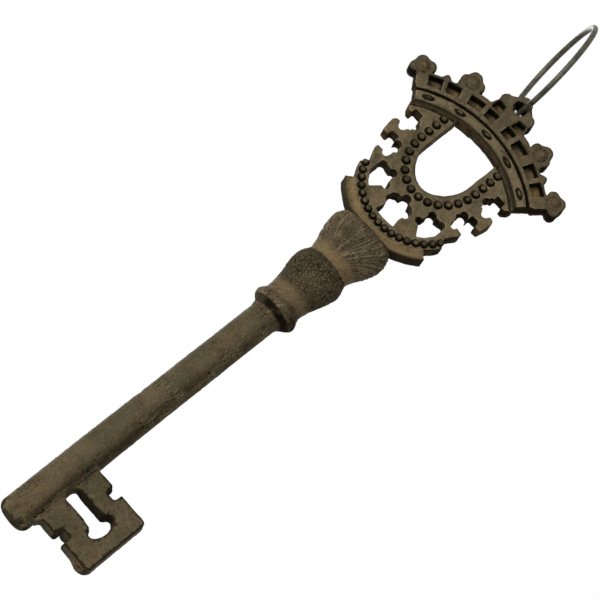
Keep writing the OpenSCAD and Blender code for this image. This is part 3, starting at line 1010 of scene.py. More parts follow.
@dataclass
class LowerVase(Vase):
    """The lower vase, whose skin is crazed with deep pits."""

    # Depths of the whole skin, of the cracks in it and of the pits
    skin_mm: float = 0.15
    crack_mm: float = 0.3
    pit_mm: float = 0.15
    # The size and seed of the cells between the cracks, and how far and how fast the cracks wander
    # from straight, with a seed for each direction
    cell_mm: float = 1.9
    cell_seed: int = 31
    wander_mm: float = 0.8
    wander_size_mm: float = 2.4
    wander_seeds: tuple[int, int, int] = (35, 36, 37)
    pits: Mottle = Mottle(1.7, 33, 0.0, 0.5)
    crack_film: Mottle = Mottle(8.0, 38, -0.5, 0.3)
    rubbed_and_highlight: Mottle = Mottle(9.0, 39, 0.0, 0.5)

    def net(self, at: np.ndarray) -> np.ndarray:
        """How much of a crack each point lies in."""
        wander = np.stack([lumpy(at, self.wander_size_mm, seed) for seed in self.wander_seeds], 1)
        return smooth_step(crazed(at + self.wander_mm * wander, self.cell_mm, self.cell_seed), 0.3, 0.0)

    def relief(self, surface: Surface) -> np.ndarray:
        """A net of fine cracks with pits between, and a smoother foot.

        Args:
            surface: the shaped form.

        Returns:
            The height of the relief at each point.
        """
        at = surface.at
        body = between(at[:, 2], self.foot_z + 5, self.foot_z + 10, self.top_z - 4, self.top_z - 0.5)
        return -body * (self.skin_mm + self.crack_mm * self.net(at) + self.pit_mm * self.pits.on(at))

    def stains(self, surface: Surface) -> Stains:
        """Film in the cracks, a dark shoulder, a browner foot and patches of painted highlight.

        Args:
            surface: the form with its relief.

        Returns:
            The amount of each stain at each point.
        """
        stains = super().stains(surface)
        at = surface.at
        z = at[:, 2]
        body = smooth_step(z, self.foot_z + 5, self.foot_z + 10)
        film = body * (0.22 + self.net(at) * (0.36 + 0.36 * self.crack_film.on(at)))
        crease = 0.6 * ridge(z, self.top_z - 0.4, 1.2)
        stains[Stain.FILM_AND_SHADE] = most(0.8 * stains[Stain.FILM_AND_SHADE], film, crease)
        stains[Stain.RUSTY] = 0.45 * ridge(z, self.foot_z + 2.5, 3.0)
        stains[Stain.PITTED] = 0.5 * smooth_step(z, self.foot_z + 4, self.foot_z + 9)
        # Patches of painted highlight on the body
        stains[Stain.WORN_AND_HIGHLIGHT] = most(stains[Stain.WORN_AND_HIGHLIGHT], 0.2 * body * self.rubbed_and_highlight.on(at))
        stains[Stain.WORN_AND_HIGHLIGHT] *= 1 - stains[Stain.FILM_AND_SHADE]
        return stains


@dataclass
class UpperVase(Vase):
    """The upper vase, chased with veins that fan out upwards like a leaf's."""

    foot_z: float = 220.0
    top_z: float = 251.0
    # Depth of the whole skin, height of the veins on it, and depth of the pits between them
    skin_mm: float = 0.3
    vein_mm: float = 0.32
    pit_mm: float = 0.14
    # The pits lie in the cracks of a net, whose cells are this size and this much longer than wide
    pit_cell_mm: float = 1.9
    pit_seed: int = 45
    pit_stretch: tuple[float, float, float] = (1.0, 1.0, 0.6)
    # The fan: how far below the foot it starts, the width that a turn about the stem is spread over,
    # how much it curls in towards the top, and how wide and how long its veins are drawn
    fan_drop: float = 14.0
    fan_width: float = 19.0
    fan_curl: float = 0.006
    fan_scale: tuple[float, float] = (27.0, 0.055)
    wander: float = 1.3
    wander_size_mm: float = 11.0
    wander_seed: int = 41
    bold: Mottle = Mottle(2.0, 43, 0.22, 0.04, 1)
    fine: Mottle = Mottle(0.85, 44, 0.35, 0.05, 1)
    # The fine veins are shorter
    fine_stretch: tuple[float, float, float] = (1.0, 1.0, 1.6)
    film: Mottle = Mottle(7.0, 47, -0.5, 0.4)

    def body(self, z: np.ndarray) -> np.ndarray:
        """One above the foot."""
        return smooth_step(z, self.foot_z + 3, self.foot_z + 8)

    def veins(self, at: np.ndarray) -> np.ndarray:
        """How much of a vein each point lies on.

        Args:
            at: the points.

        Returns:
            One number for each point.
        """
        up = at[:, 2] - (self.foot_z - self.fan_drop)
        turn = np.arctan2(at[:, 0] - stem_bow(at[:, 2]), -at[:, 1])
        angle = np.arctan2(self.fan_width * turn - self.fan_curl * up**2, up) * self.fan_scale[0]
        across = angle + self.wander * lumpy(at, self.wander_size_mm, self.wander_seed, 1)
        fan = np.stack([across, np.zeros(len(at)), up * self.fan_scale[1]], 1)
        veins = most(self.bold.lines(fan), 0.55 * self.fine.lines(fan * self.fine_stretch))
        # The two ends of the turn meet at the back, where the veins fade out
        return veins * smooth_step(np.abs(turn), math.pi, 2.7)

    def relief(self, surface: Surface) -> np.ndarray:
        """Raised veins, and pits between them.

        Args:
            surface: the shaped form.

        Returns:
            The height of the relief at each point.
        """
        at = surface.at
        body = self.body(at[:, 2]) * smooth_step(at[:, 2], self.top_z, self.top_z - 3)
        pits = smooth_step(crazed(at * self.pit_stretch, self.pit_cell_mm, self.pit_seed), 0.3, 0.0)
        veins = self.veins(at)
        return body * (self.vein_mm * veins - self.skin_mm - self.pit_mm * pits * (1 - veins))

    def stains(self, surface: Surface) -> Stains:
        """Rubbed veins, a rusty waist and a dark line under the cradle.

        Args:
            surface: the form with its relief.

        Returns:
            The amount of each stain at each point.
        """
        stains = super().stains(surface)
        at = surface.at
        z = at[:, 2]
        body, veins = self.body(z), self.veins(at)
        worn = most(stains[Stain.WORN_AND_HIGHLIGHT] * 0.6, 0.9 * veins * body)
        top = 0.8 * ridge(z, self.top_z, 2.0)
        film = 0.3 * body * (1 - veins) * self.film.on(at)
        stains[Stain.FILM_AND_SHADE] = most(stains[Stain.FILM_AND_SHADE] * (1 - 0.5 * worn), top, film)
        stains[Stain.WORN_AND_HIGHLIGHT] = worn
        stains[Stain.RUSTY] = 0.65 * smooth_step(z, self.foot_z + 8, self.foot_z + 1)
        stains[Stain.PITTED] = 0.8 * body
        return stains


@dataclass
class Cradle(Form):
    """The dished crescent that holds the round foot of the bow."""

    inner: float = 37.2
    outer: float = 43.4
    dish: float = 1.3
    # The power of the dish's curve: the more, the gentler its edges
    dish_power: float = 1.3
    # Where the darker left end starts and is full, and the place and half width of the rubbed middle
    left_x: tuple[float, float] = (-27.0, -36.0)
    middle_x: float = -3.0
    middle_half: tuple[float, float] = (34.0, 20.0)
    film: Mottle = Mottle(7.0, 61, 0.1, 0.5)

    def relief(self, surface: Surface) -> np.ndarray:
        """The dish in its front.

        Args:
            surface: the shaped form.

        Returns:
            The height of the relief at each point.
        """
        r = from_centre(surface.at, RIM_Z)
        t = np.clip((r - self.inner - 0.3) / (self.outer - self.inner - 0.8), 0, 1)
        return -self.dish * np.sin(math.pi * t) ** self.dish_power * surface.front()

    def stains(self, surface: Surface) -> Stains:
        """Rust in the dish, rubbed metal in its middle, film and painted shade on the walls, and film at the
        left end.

        Args:
            surface: the form with its relief.

        Returns:
            The amount of each stain at each point.
        """
        stains = super().stains(surface)
        at, walls = surface.at, surface.walls()
        rim = ridge(from_centre(at, RIM_Z), self.outer - 0.1, 0.8) * surface.front(0.2, 0.7)
        patches = most(0.15 * self.film.on(at), 0.3 * smooth_step(at[:, 0], *self.left_x))
        middle = smooth_step(np.abs(at[:, 0] - self.middle_x), *self.middle_half)
        # The walls get film and painted shade
        stains[Stain.FILM_AND_SHADE] = most(0.85 * walls, 0.8 * rim, patches)
        stains[Stain.RUSTY] = (0.35 + 0.48 * middle) * surface.front(0.3, 0.7)
        stains[Stain.WORN_AND_HIGHLIGHT] = most(0.8 * stains[Stain.WORN_AND_HIGHLIGHT], 0.75 * middle * (1 - walls))
        return stains


@dataclass
class AlongPath:
    """A piece that Geometry Nodes make along a path."""

    drawing: Drawing

    def sizes(self) -> dict[str, tuple[str, object]]:
        """The tree's inputs: from each one's name to its socket's type and its value."""
        return {}

    def follow(self, tree: NodeTree, line: NodeSocket, given: bpy.types.bpy_prop_collection) -> NodeSocket:
        """Adds the nodes that make the piece along the line, and gives the socket it comes from."""
        return line

    def laid_out(self, name: str, path: list[Vector], finish: Material) -> Object:
        """Makes the piece as a plain mesh.

        Args:
            name: the piece's name.
            path: the points that it follows, in metres in the frame.
            finish: the material to dress it in.

        Returns:
            An object that holds the mesh.
        """
        tree = bpy.data.node_groups.new(f"{name}_layout", "GeometryNodeTree")
        tree.interface.new_socket("Path", in_out="INPUT", socket_type="NodeSocketGeometry")
        values = {}
        for size, (kind, value) in self.sizes().items():
            values[tree.interface.new_socket(size, in_out="INPUT", socket_type=kind).identifier] = value
        tree.interface.new_socket("Piece", in_out="OUTPUT", socket_type="NodeSocketGeometry")
        given = add_node(tree, "NodeGroupInput").outputs
        line = add_node(tree, "GeometryNodeMeshToCurve", {"Mesh": given["Path"]}).outputs["Curve"]
        inputs = {"Geometry": self.follow(tree, line, given)}
        inputs = {"Geometry": add_node(tree, "GeometryNodeRealizeInstances", inputs).outputs["Geometry"]}
        dressed = add_node(tree, "GeometryNodeSetMaterial", inputs | {"Material": finish})
        add_node(tree, "NodeGroupOutput", {"Piece": dressed.outputs["Geometry"]})

        mesh = bpy.data.meshes.new(name)
        mesh.from_pydata(path, [(i, i + 1) for i in range(len(path) - 1)], [])
        obj = new_object(name, mesh)
        modifier = obj.modifiers.new("layout", "NODES")
        modifier.node_group = tree
        for identifier, value in values.items():
            modifier[identifier] = value
        baked(obj)
        return obj


@dataclass
class PathOfPieces(AlongPath):
    """Like domed pieces, spaced evenly along a path on the bow's front."""

    name: str
    nodes: tuple[str, ...]
    slot: Slot
    # Points that the pieces follow, as x and z of the drawing
    path: np.ndarray
    count: int
    # Half sizes of one piece: along the path, out of the face, and across the path
    half: tuple[float, float, float]
    # No two are quite alike: the least and most that each half size is scaled by
    least: tuple[float, float, float] = (0.84, 0.78, 0.84)
    largest: tuple[float, float, float] = (0.96, 0.97, 0.96)
    seed: int = 7
    segments: int = 28
    rings: int = 18
    # Height and size of the dents in them, and the dents' seed
    dent_mm: float = 0.22
    dent_size_mm: float = 1.5
    dent_seed: int = 71
    rust: Mottle = Mottle(6.0, 73, 0.0, 0.4)
    film: Mottle = Mottle(5.0, 74, -0.3, 0.3)

    def sizes(self) -> dict[str, tuple[str, object]]:
        """The tree's inputs for a row of pieces.

        Returns:
            From each input's name to its socket's type and its value.
        """
        return {
            "Count": ("NodeSocketInt", self.count),
            "Half sizes": ("NodeSocketVector", tuple(size * MM for size in self.half)),
            "Seed": ("NodeSocketInt", self.seed),
        }

    def follow(self, tree: NodeTree, line: NodeSocket, given: bpy.types.bpy_prop_collection) -> NodeSocket:
        """Adds the nodes that put a domed piece at each step along the line.

        Args:
            tree: the tree that gets the nodes.
            line: the curve to follow.
            given: the tree's inputs.

        Returns:
            The socket that the pieces come from.
        """
        inputs = {"Curve": line, "Count": given["Count"]}
        steps = add_node(tree, "GeometryNodeResampleCurve", inputs).outputs["Curve"]
        inputs = {"Vector": add_node(tree, "GeometryNodeInputTangent").outputs["Tangent"]}
        turned = add_node(tree, "FunctionNodeAlignRotationToVector", inputs, axis="X", pivot_axis="Y")
        inputs = {"Segments": self.segments, "Rings": self.rings, "Radius": 1.0}
        ball = add_node(tree, "GeometryNodeMeshUVSphere", inputs).outputs["Mesh"]
        inputs = {"Geometry": ball, "Scale": given["Half sizes"]}
        sized = add_node(tree, "GeometryNodeTransform", inputs).outputs["Geometry"]
        inputs = {"Min": self.least, "Max": self.largest, "Seed": given["Seed"]}
        unlike = add_node(tree, "FunctionNodeRandomValue", inputs, data_type="FLOAT_VECTOR").outputs["Value"]
        inputs = {"Points": steps, "Instance": sized, "Rotation": turned.outputs["Rotation"], "Scale": unlike}
        return add_node(tree, "GeometryNodeInstanceOnPoints", inputs).outputs["Instances"]

    def centres(self) -> np.ndarray:
        """Where every piece sits, as x, z and its half size along the path."""
        at = points_at(self.path, np.linspace(0, distances(self.path)[-1], self.count))
        return np.column_stack([at, np.full(self.count, self.half[0])])

    def build(self, finish: Material) -> Object:
        """Lays the pieces out and puts them on the key.

        Args:
            finish: the material to dress the pieces in.

        Returns:
            The finished piece.
        """
        points = [self.drawing.point(x, -BOW_HALF, z) for x, z in self.path]
        obj = self.laid_out(self.name, points, finish)
        surface = Surface(obj.data, self.drawing)
        at = surface.at
        surface.move(surface.raised(self.dent_mm * lumpy(at, self.dent_size_mm, self.dent_seed)))
        # The foot of each dome sits in its moat and is painted dark for the shade there, and its top is
        # rubbed and painted with a highlight
        out = (-BOW_HALF - at[:, 1]) / self.half[1]
        stains = {
            Stain.FILM_AND_SHADE: most(smooth_step(out, 0.82, 0.5), 0.2 + 0.4 * self.film.on(at)),
            Stain.WORN_AND_HIGHLIGHT: 0.5 * smooth_step(out, 0.7, 1.0),
            Stain.RUSTY: 0.4 * self.rust.on(at),
            Stain.PITTED: np.full(len(at), 0.3),
        }
        surface.paint(stains)
        return placed(obj, self.nodes, Body.KEY)


@dataclass
class Beads:
    """The beads round the shield-shaped opening and along the rim."""

    drawing: Drawing
    opening_half_w: float = 16.7
    opening_drop: float = 21.4
    # How far the beads' middles lie from the opening, and from each other
    inset: float = 5.4
    pitch: float = 5.95
    shield_count: int = 20
    shield_bead: tuple[float, float, float] = (2.3, 1.9, 2.3)
    rim_bead_r: float = 34.18
    rim_half_deg: float = 64.0
    rim_count: int = 17
    rim_bead: tuple[float, float, float] = (2.1, 1.9, 2.1)

    def shield_path(self) -> np.ndarray:
        """The line of beads round the opening, from the left end down and up to the right.

        Returns:
            Its points, as x and z.
        """
        a = np.linspace(0, math.pi / 2, 90)
        wide, drop = self.opening_half_w + self.inset, self.opening_drop + self.inset
        curve = np.stack([wide * np.sin(a), OPENING_Z - drop * np.cos(a)], 1)
        # The straight side is longer than the beads need
        right = np.vstack([curve, [wide, OPENING_Z + 40]])
        half = points_at(right, np.linspace(0, (self.shield_count - 1) / 2 * self.pitch, 200))
        return np.vstack([half[:0:-1] * [-1, 1], half])

    def rows(self) -> list[PathOfPieces]:
        """The two lines of beads.

        Returns:
            The line round the opening and the line along the rim.
        """
        rim_path = arc(RIM_Z, -self.rim_bead_r, self.rim_half_deg)
        rows = (
            ("shield_bead_row", "shield_beads", self.shield_path(), self.shield_count, self.shield_bead),
            ("rim_bead_row", "rim_beads", rim_path, self.rim_count, self.rim_bead),
        )
        slot = Slot.WORN_IRON
        return [PathOfPieces(self.drawing, name, (node,), slot, *rest) for name, node, *rest in rows]

    def build(self, finish: Material) -> None:
        """Makes both lines of beads."""
        for row in self.rows():
            row.build(finish)


@dataclass
class Tracery(Form):
    """The pierced tracery with its T-headed arms, and the moats in which the beads sit."""

    beads: Beads
    # The groove under the crown, about the crown's centre
    groove_in: float = 63.1
    moat_mm: float = 0.8
    # The rim of the opening, which keeps film and the painted shade of its rounded edge, and the place
    # within which its walls get less painted shade
    rim_half_w: float = 17.1
    rim_drop: float = 21.9
    opening_mid: float = 317.0
    opening_r: float = 24.0
    # Where the heads of the arms are: how far out, and under which height
    head_x: tuple[float, float] = (31.0, 34.0)
    head_z: tuple[float, float] = (316.0, 313.0)
    head_rounds: int = 14
    # Patches in the film and painted shade on the walls
    wall_film_and_shade: Mottle = Mottle(5.0, 63, -0.4, 0.4)

    def to_bead(self, at: np.ndarray) -> np.ndarray:
        """The distance from each point to the edge of the nearest bead, seen from the front."""
        beads = np.vstack([row.centres() for row in self.beads.rows()])
        return np.min([np.hypot(at[:, 0] - x, at[:, 2] - z) - r for x, z, r in beads], axis=0)

    def shape(self, surface: Surface) -> np.ndarray:
        """Wears the heads of the arms round.

        Args:
            surface: the remeshed solids.

        Returns:
            The moved points.
        """
        at = surface.at
        heads = smooth_step(np.abs(at[:, 0]), *self.head_x) * smooth_step(at[:, 2], *self.head_z)
        return surface.blurred(at, self.head_rounds, heads)

    def relief(self, surface: Surface) -> np.ndarray:
        """A narrow moat round each bead."""
        return -self.moat_mm * ridge(self.to_bead(surface.at), -0.1, 0.5) * surface.front()

    def stains(self, surface: Surface) -> Stains:
        """Film and painted shade on every wall, in the moats, round the opening and in the groove under the
        crown.

        Args:
            surface: the form with its relief.

        Returns:
            The amount of each stain at each point.
        """
        stains = super().stains(surface)
        at, front, walls = surface.at, surface.front(), surface.walls()
        x, _, z = at.T
        # Film and painted shade in the moats round the beads and in the groove under the crown
        moat = smooth_step(self.to_bead(at), 0.6, 0.15) * front
        groove = smooth_step(from_centre(at, CROWN_Z) - self.groove_in, -0.5, 0.3) * front
        # Film and painted shade on the walls, less of it near the opening
        wall_film_and_shade = 0.68 + 0.3 * self.wall_film_and_shade.on(at)
        wall_film_and_shade -= 0.35 * smooth_step(from_centre(at, self.opening_mid), self.opening_r + 4, self.opening_r)
        # Film and the painted shade of the opening's rounded rim
        from_rim = np.hypot(x / self.rim_half_w, np.minimum(z - OPENING_Z, 0) / self.rim_drop)
        rim = smooth_step(from_rim, 1.03, 0.98) * (1 - walls)
        stains[Stain.FILM_AND_SHADE] = most(stains[Stain.FILM_AND_SHADE], wall_film_and_shade * walls, moat, 0.85 * groove, 0.6 * rim)
        stains[Stain.RUSTY] = 0.3 * smooth_step(np.abs(x), 32.0, 37.0) + 0.6 * walls
        stains[Stain.WORN_AND_HIGHLIGHT] = most(stains[Stain.WORN_AND_HIGHLIGHT], 0.35 * front) * (1 - walls)
        return stains


@dataclass
class Crown(Form):
    """The arched band, the arcade above it, the lug and the four finials."""

    # Radii of the band about its centre: its inner edge, its round back, the groove and its outer edge
    band_in: float = 66.5
    ridge_in: float = 67.2
    groove_in: float = 73.7
    groove_mid: float = 74.6
    band_out: float = 77.5
    # Heights of the round back and the bosses, and depths of the moats and the groove
    bulge: float = 0.5
    boss_mm: float = 0.5
    gem_moat_mm: float = 0.7
    boss_moat_mm: float = 0.35
    groove_mm: float = 0.45
    # Radius and angle of each finial's boss, from the band's centre
    bosses: tuple[tuple[float, float], ...] = ((91.6, 17.9), (89.6, 36.9))
    boss_r: float = 3.3
    # The hanging hole, and the iron that chokes its front at one angle and lines its back
    hole_z: float = 371.3
    choke_deg: float = -125.0
    choke_width_deg: float = 36.0
    choke: float = 0.95
    front_choke: float = 1.5
    back_lining: float = 0.9
    # The band's ends lie past a line that leans outwards going up: its distance out at a height, where
    # the wear starts and is full, that height, and the lean
    end_x: tuple[float, float] = (40.0, 44.0)
    end_z: float = 330.0
    end_lean: float = 0.55
    # How far out from the lug's middle the wear of the outline starts, and where it is full
    lug_x: tuple[float, float] = (9.0, 16.0)
    wear_rounds: int = 14
    # The gems: their moats' half sizes, and the smaller ones of their tops
    gem_r: float = 70.45
    gem_step_deg: float = 16.0
    gem_count: int = 5
    gem: tuple[float, float, float] = (3.1, 1.6, 1.45)
    gem_top: tuple[float, float, float] = (2.75, 1.6, 1.15)
    # Patches in the film and painted shade on walls, and in the painted shadows round bosses and gems
    wall_film_and_shade: Mottle = Mottle(5.0, 65, -0.4, 0.4)
    boss_shadow: Mottle = Mottle(6.0, 67, -0.6, 0.1)
    gem_shadow: Mottle = Mottle(2.6, 68, -0.4, 0.1)
    floor_rust: Mottle = Mottle(6.0, 69, 0.0, 0.3)

    def round_back(self, r: np.ndarray) -> np.ndarray:
        """The band's round back: one along its middle, and none at its edges."""
        return np.sin(math.pi * np.clip((r - self.ridge_in) / (self.groove_in - self.ridge_in), 0, 1))

    def to_boss(self, at: np.ndarray) -> np.ndarray:
        """The distance to the middle of the nearest boss.

        Args:
            at: the points.

        Returns:
            One distance for each point.
        """
        gaps = []
        for radius, angle in self.bosses:
            x, z = radius * math.sin(math.radians(angle)), CROWN_Z + radius * math.cos(math.radians(angle))
            gaps.append(np.hypot(np.abs(at[:, 0]) - x, at[:, 2] - z))
        return np.min(gaps, axis=0)

    def to_gem(self, at: np.ndarray) -> np.ndarray:
        """How far out each point lies from the middle of the nearest gem, where its edge is one.

        Args:
            at: the points.

        Returns:
            One number for each point.
        """
        angle = np.degrees(np.arctan2(at[:, 0], at[:, 2] - CROWN_Z))
        half = (self.gem_count - 1) / 2
        nearest = np.clip(np.round(angle / self.gem_step_deg), -half, half) * self.gem_step_deg
        along = np.radians(angle - nearest) * self.gem_r / self.gem[0]
        return np.hypot(along, (from_centre(at, CROWN_Z) - self.gem_r) / self.gem[2])

    def shape(self, surface: Surface) -> np.ndarray:
        """Wears the finials, the lug and the band's ends round, and chokes the hanging hole.

        Args:
            surface: the remeshed solids.

        Returns:
            The moved points.
        """
        at = surface.at
        r, from_hole, side = from_centre(at, CROWN_Z), from_centre(at, self.hole_z), np.abs(at[:, 0])
        outside = smooth_step(r, self.band_out + 6, self.band_out + 11) * smooth_step(side, *self.lug_x)
        from_end = side - self.end_lean * (at[:, 2] - self.end_z)
        ends = smooth_step(from_end, *self.end_x) * (r < self.band_out)
        worn = most(outside, ends) * smooth_step(from_hole, 5.5, 7.5)
        at = surface.blurred(at, self.wear_rounds, worn)
        # The hole opens out at its front only, and iron that ran into its lower left chokes it there,
        # where the wire never comes
        angle = np.degrees(np.arctan2(at[:, 0], at[:, 2] - self.hole_z))
        depth = at[:, 1] / BOW_HALF
        front, back = -np.minimum(depth, 0), np.maximum(depth, 0)
        fin = ridge(angle, self.choke_deg, self.choke_width_deg)
        fin *= self.choke * (1 - back) + self.front_choke * front
        fin = (fin + self.back_lining * back) * smooth_step(from_hole, 7.5, 4.8) / np.maximum(from_hole, 1.0)
        at[:, 0] -= fin * at[:, 0]
        at[:, 2] -= fin * (at[:, 2] - self.hole_z)
        return at

    def relief(self, surface: Surface) -> np.ndarray:
        """The band's round back and groove, a moat round each gem and boss, and the bosses.

        Args:
            surface: the shaped form.

        Returns:
            The height of the relief at each point.
        """
        at = surface.at
        r, from_boss = from_centre(at, CROWN_Z), self.to_boss(at) - self.boss_r
        band = self.bulge * self.round_back(r) * (at[:, 1] < 1 - BOW_HALF)
        band -= self.groove_mm * ridge(r, self.groove_mid, 1.0)
        band -= self.gem_moat_mm * ridge(self.to_gem(at), 1.0, 0.3)
        boss = self.boss_mm * smooth_step(from_boss, 0.3, -1.6)
        return surface.front() * (band + boss - self.boss_moat_mm * ridge(from_boss, 0.9, 1.1))

    def stains(self, surface: Surface) -> Stains:
        """Film and painted shade in the grooves and moats, on walls and edges and in the hanging hole, rubbed
        metal with a painted highlight along the band's round back, and rust on floors and bosses.

        Args:
            surface: the form with its relief.

        Returns:
            The amount of each stain at each point.
        """
        stains = super().stains(surface)
        at, front, walls = surface.at, surface.front(), surface.walls()
        r, from_boss = from_centre(at, CROWN_Z), self.to_boss(at) - self.boss_r
        in_band, from_band = r < self.band_out, r - self.band_out
        # What lies deeper than the front: the windows' floors and, inside the band, its grooves
        deep = smooth_step(at[:, 1], -4.6, -3.6) * (at[:, 1] < 2.0)
        floors = deep * (from_band > 0) * front
        # Film and painted shade in the grooves and along the band's inner edge
        grooves = most(
            deep * in_band * smooth_step(r - self.band_in, 0.3, 0.7),
            ridge(r, self.groove_mid, 1.05) * front,
            0.95 * ridge(r, self.band_in + 0.5, 0.8) * surface.front(0.2, 0.5),
        )
        # A painted shadow round each gem, with film
        gem = smooth_step(self.to_gem(at), 1.4, 1.15) * front * (r < self.groove_in)
        gem *= 0.55 + 0.45 * self.gem_shadow.on(at)
        # A ring of painted shadow round each boss
        boss = 0.4 * ridge(from_boss, 0.7, 0.8) * front * self.boss_shadow.on(at)
        inner_wall = r < self.band_in + 1.0
        # Film and painted shade on the walls, near-black in the windows, a little less on the band's inner
        # wall
        wall_film_and_shade = 0.6 + 0.33 * self.wall_film_and_shade.on(at) - 0.06 * inner_wall
        wall_film_and_shade = np.where((from_band > 0) & (deep > 0.2), 0.97, wall_film_and_shade)
        # Film and painted shade along the rounded edges of the heads
        edge = 0.5 * smooth_step(-surface.hollowness(), *EDGE_MM) * smooth_step(from_band, 4.0, 7.0)
        film = most(stains[Stain.FILM_AND_SHADE], wall_film_and_shade * walls, 0.95 * grooves, gem, boss, edge)
        # The inside of the hanging hole is painted dark for its shade
        in_hole = smooth_step(from_centre(at, self.hole_z), 4.6, 4.0)
        stains[Stain.FILM_AND_SHADE] = most(film * (1 - 0.7 * floors), in_hole)
        stains[Stain.RUSTY] = most(
            0.35 * smooth_step(from_boss, 0.3, -1.3) * front,
            floors * (0.55 + 0.45 * self.floor_rust.on(at)),
            np.where(inner_wall, 0.5, 0.3) * walls,
        )
        # A painted highlight along the band's round back
        worn = most(stains[Stain.WORN_AND_HIGHLIGHT], 0.65 * self.round_back(r) * front * (1 - gem))
        stains[Stain.WORN_AND_HIGHLIGHT] = worn * (1 - walls) * (1 - floors) * (1 - 0.45 * smooth_step(from_band, 5.0, 8.0))
        return stains

    def gems(self) -> PathOfPieces:
        """The row of gems on the band.

        Returns:
            The row, to be built.
        """
        path = arc(CROWN_Z, self.gem_r, self.gem_step_deg * (self.gem_count - 1) / 2, 160)
        row = ("gem_row", ("band_gems",), Slot.RUSTY_IRON, path, self.gem_count, self.gem_top)
        return PathOfPieces(self.drawing, *row)


@dataclass
class WireRing(AlongPath):
    """The closed ring of round wire that the key hangs by."""

    radius_mm: float = 34.4
    wire_r_mm: float = 1.695
    # How far it leans to the side and is turned out of square
    lean_deg: float = 10.6
    yaw_deg: float = 11.5
    # Where the middle of the wire crosses the hole
    wire_at: tuple[float, float, float] = (0.902722, 0.0, 372.497953)
    # The gap of the butt joint, which lies at the lower back, this far round from the hole
    joint_deg: float = 0.45
    joint_at_deg: float = 35.0
    # Points along the wire and round its section
    steps: int = 240
    round_steps: int = 24

    def sizes(self) -> dict[str, tuple[str, object]]:
        """The tree's inputs: from each one's name to its socket's type and its value."""
        return {"Wire radius": ("NodeSocketFloat", self.wire_r_mm * MM)}

    def follow(self, tree: NodeTree, line: NodeSocket, given: bpy.types.bpy_prop_collection) -> NodeSocket:
        """Adds the nodes that sweep a round wire along the line.

        Args:
            tree: the tree that gets the nodes.
            line: the curve to follow.
            given: the tree's inputs.

        Returns:
            The socket that the wire comes from.
        """
        inputs = {"Resolution": self.round_steps, "Radius": given["Wire radius"]}
        section = add_node(tree, "GeometryNodeCurvePrimitiveCircle", inputs).outputs["Curve"]
        inputs = {"Curve": line, "Profile Curve": section, "Fill Caps": True}
        return add_node(tree, "GeometryNodeCurveToMesh", inputs).outputs["Mesh"]

    def build(self, finish: Material) -> Object:
        """Makes the ring and puts it on its own body.

        Args:
            finish: the material to dress the wire in.

        Returns:
            The finished piece.
        """
        lean = Matrix.Rotation(math.radians(-self.lean_deg), 4, "Y")
        turn = lean @ Matrix.Rotation(math.radians(self.yaw_deg), 4, "Z")
        place = Matrix.Translation(self.drawing.point(*self.wire_at)) @ turn
        start = self.joint_at_deg - 90 + self.joint_deg / 2
        path = [
            place @ (Vector((0, math.cos(a), 1 + math.sin(a))) * self.radius_mm * MM)
            for a in np.radians(np.linspace(start, start + 360 - self.joint_deg, self.steps))
        ]
        obj = self.laid_out("wire_ring", path, finish)
        return placed(obj, ("hanging_ring",), Body.RING)


@dataclass(frozen=True)
class Lamp:
    """A soft square lamp that faces the middle of the key."""

    name: str
    # Its place from the middle of the key as the camera sees it, in metres: to the right, up, and
    # towards the camera
    right: float
    up: float
    towards: float
    size: float
    watts: float


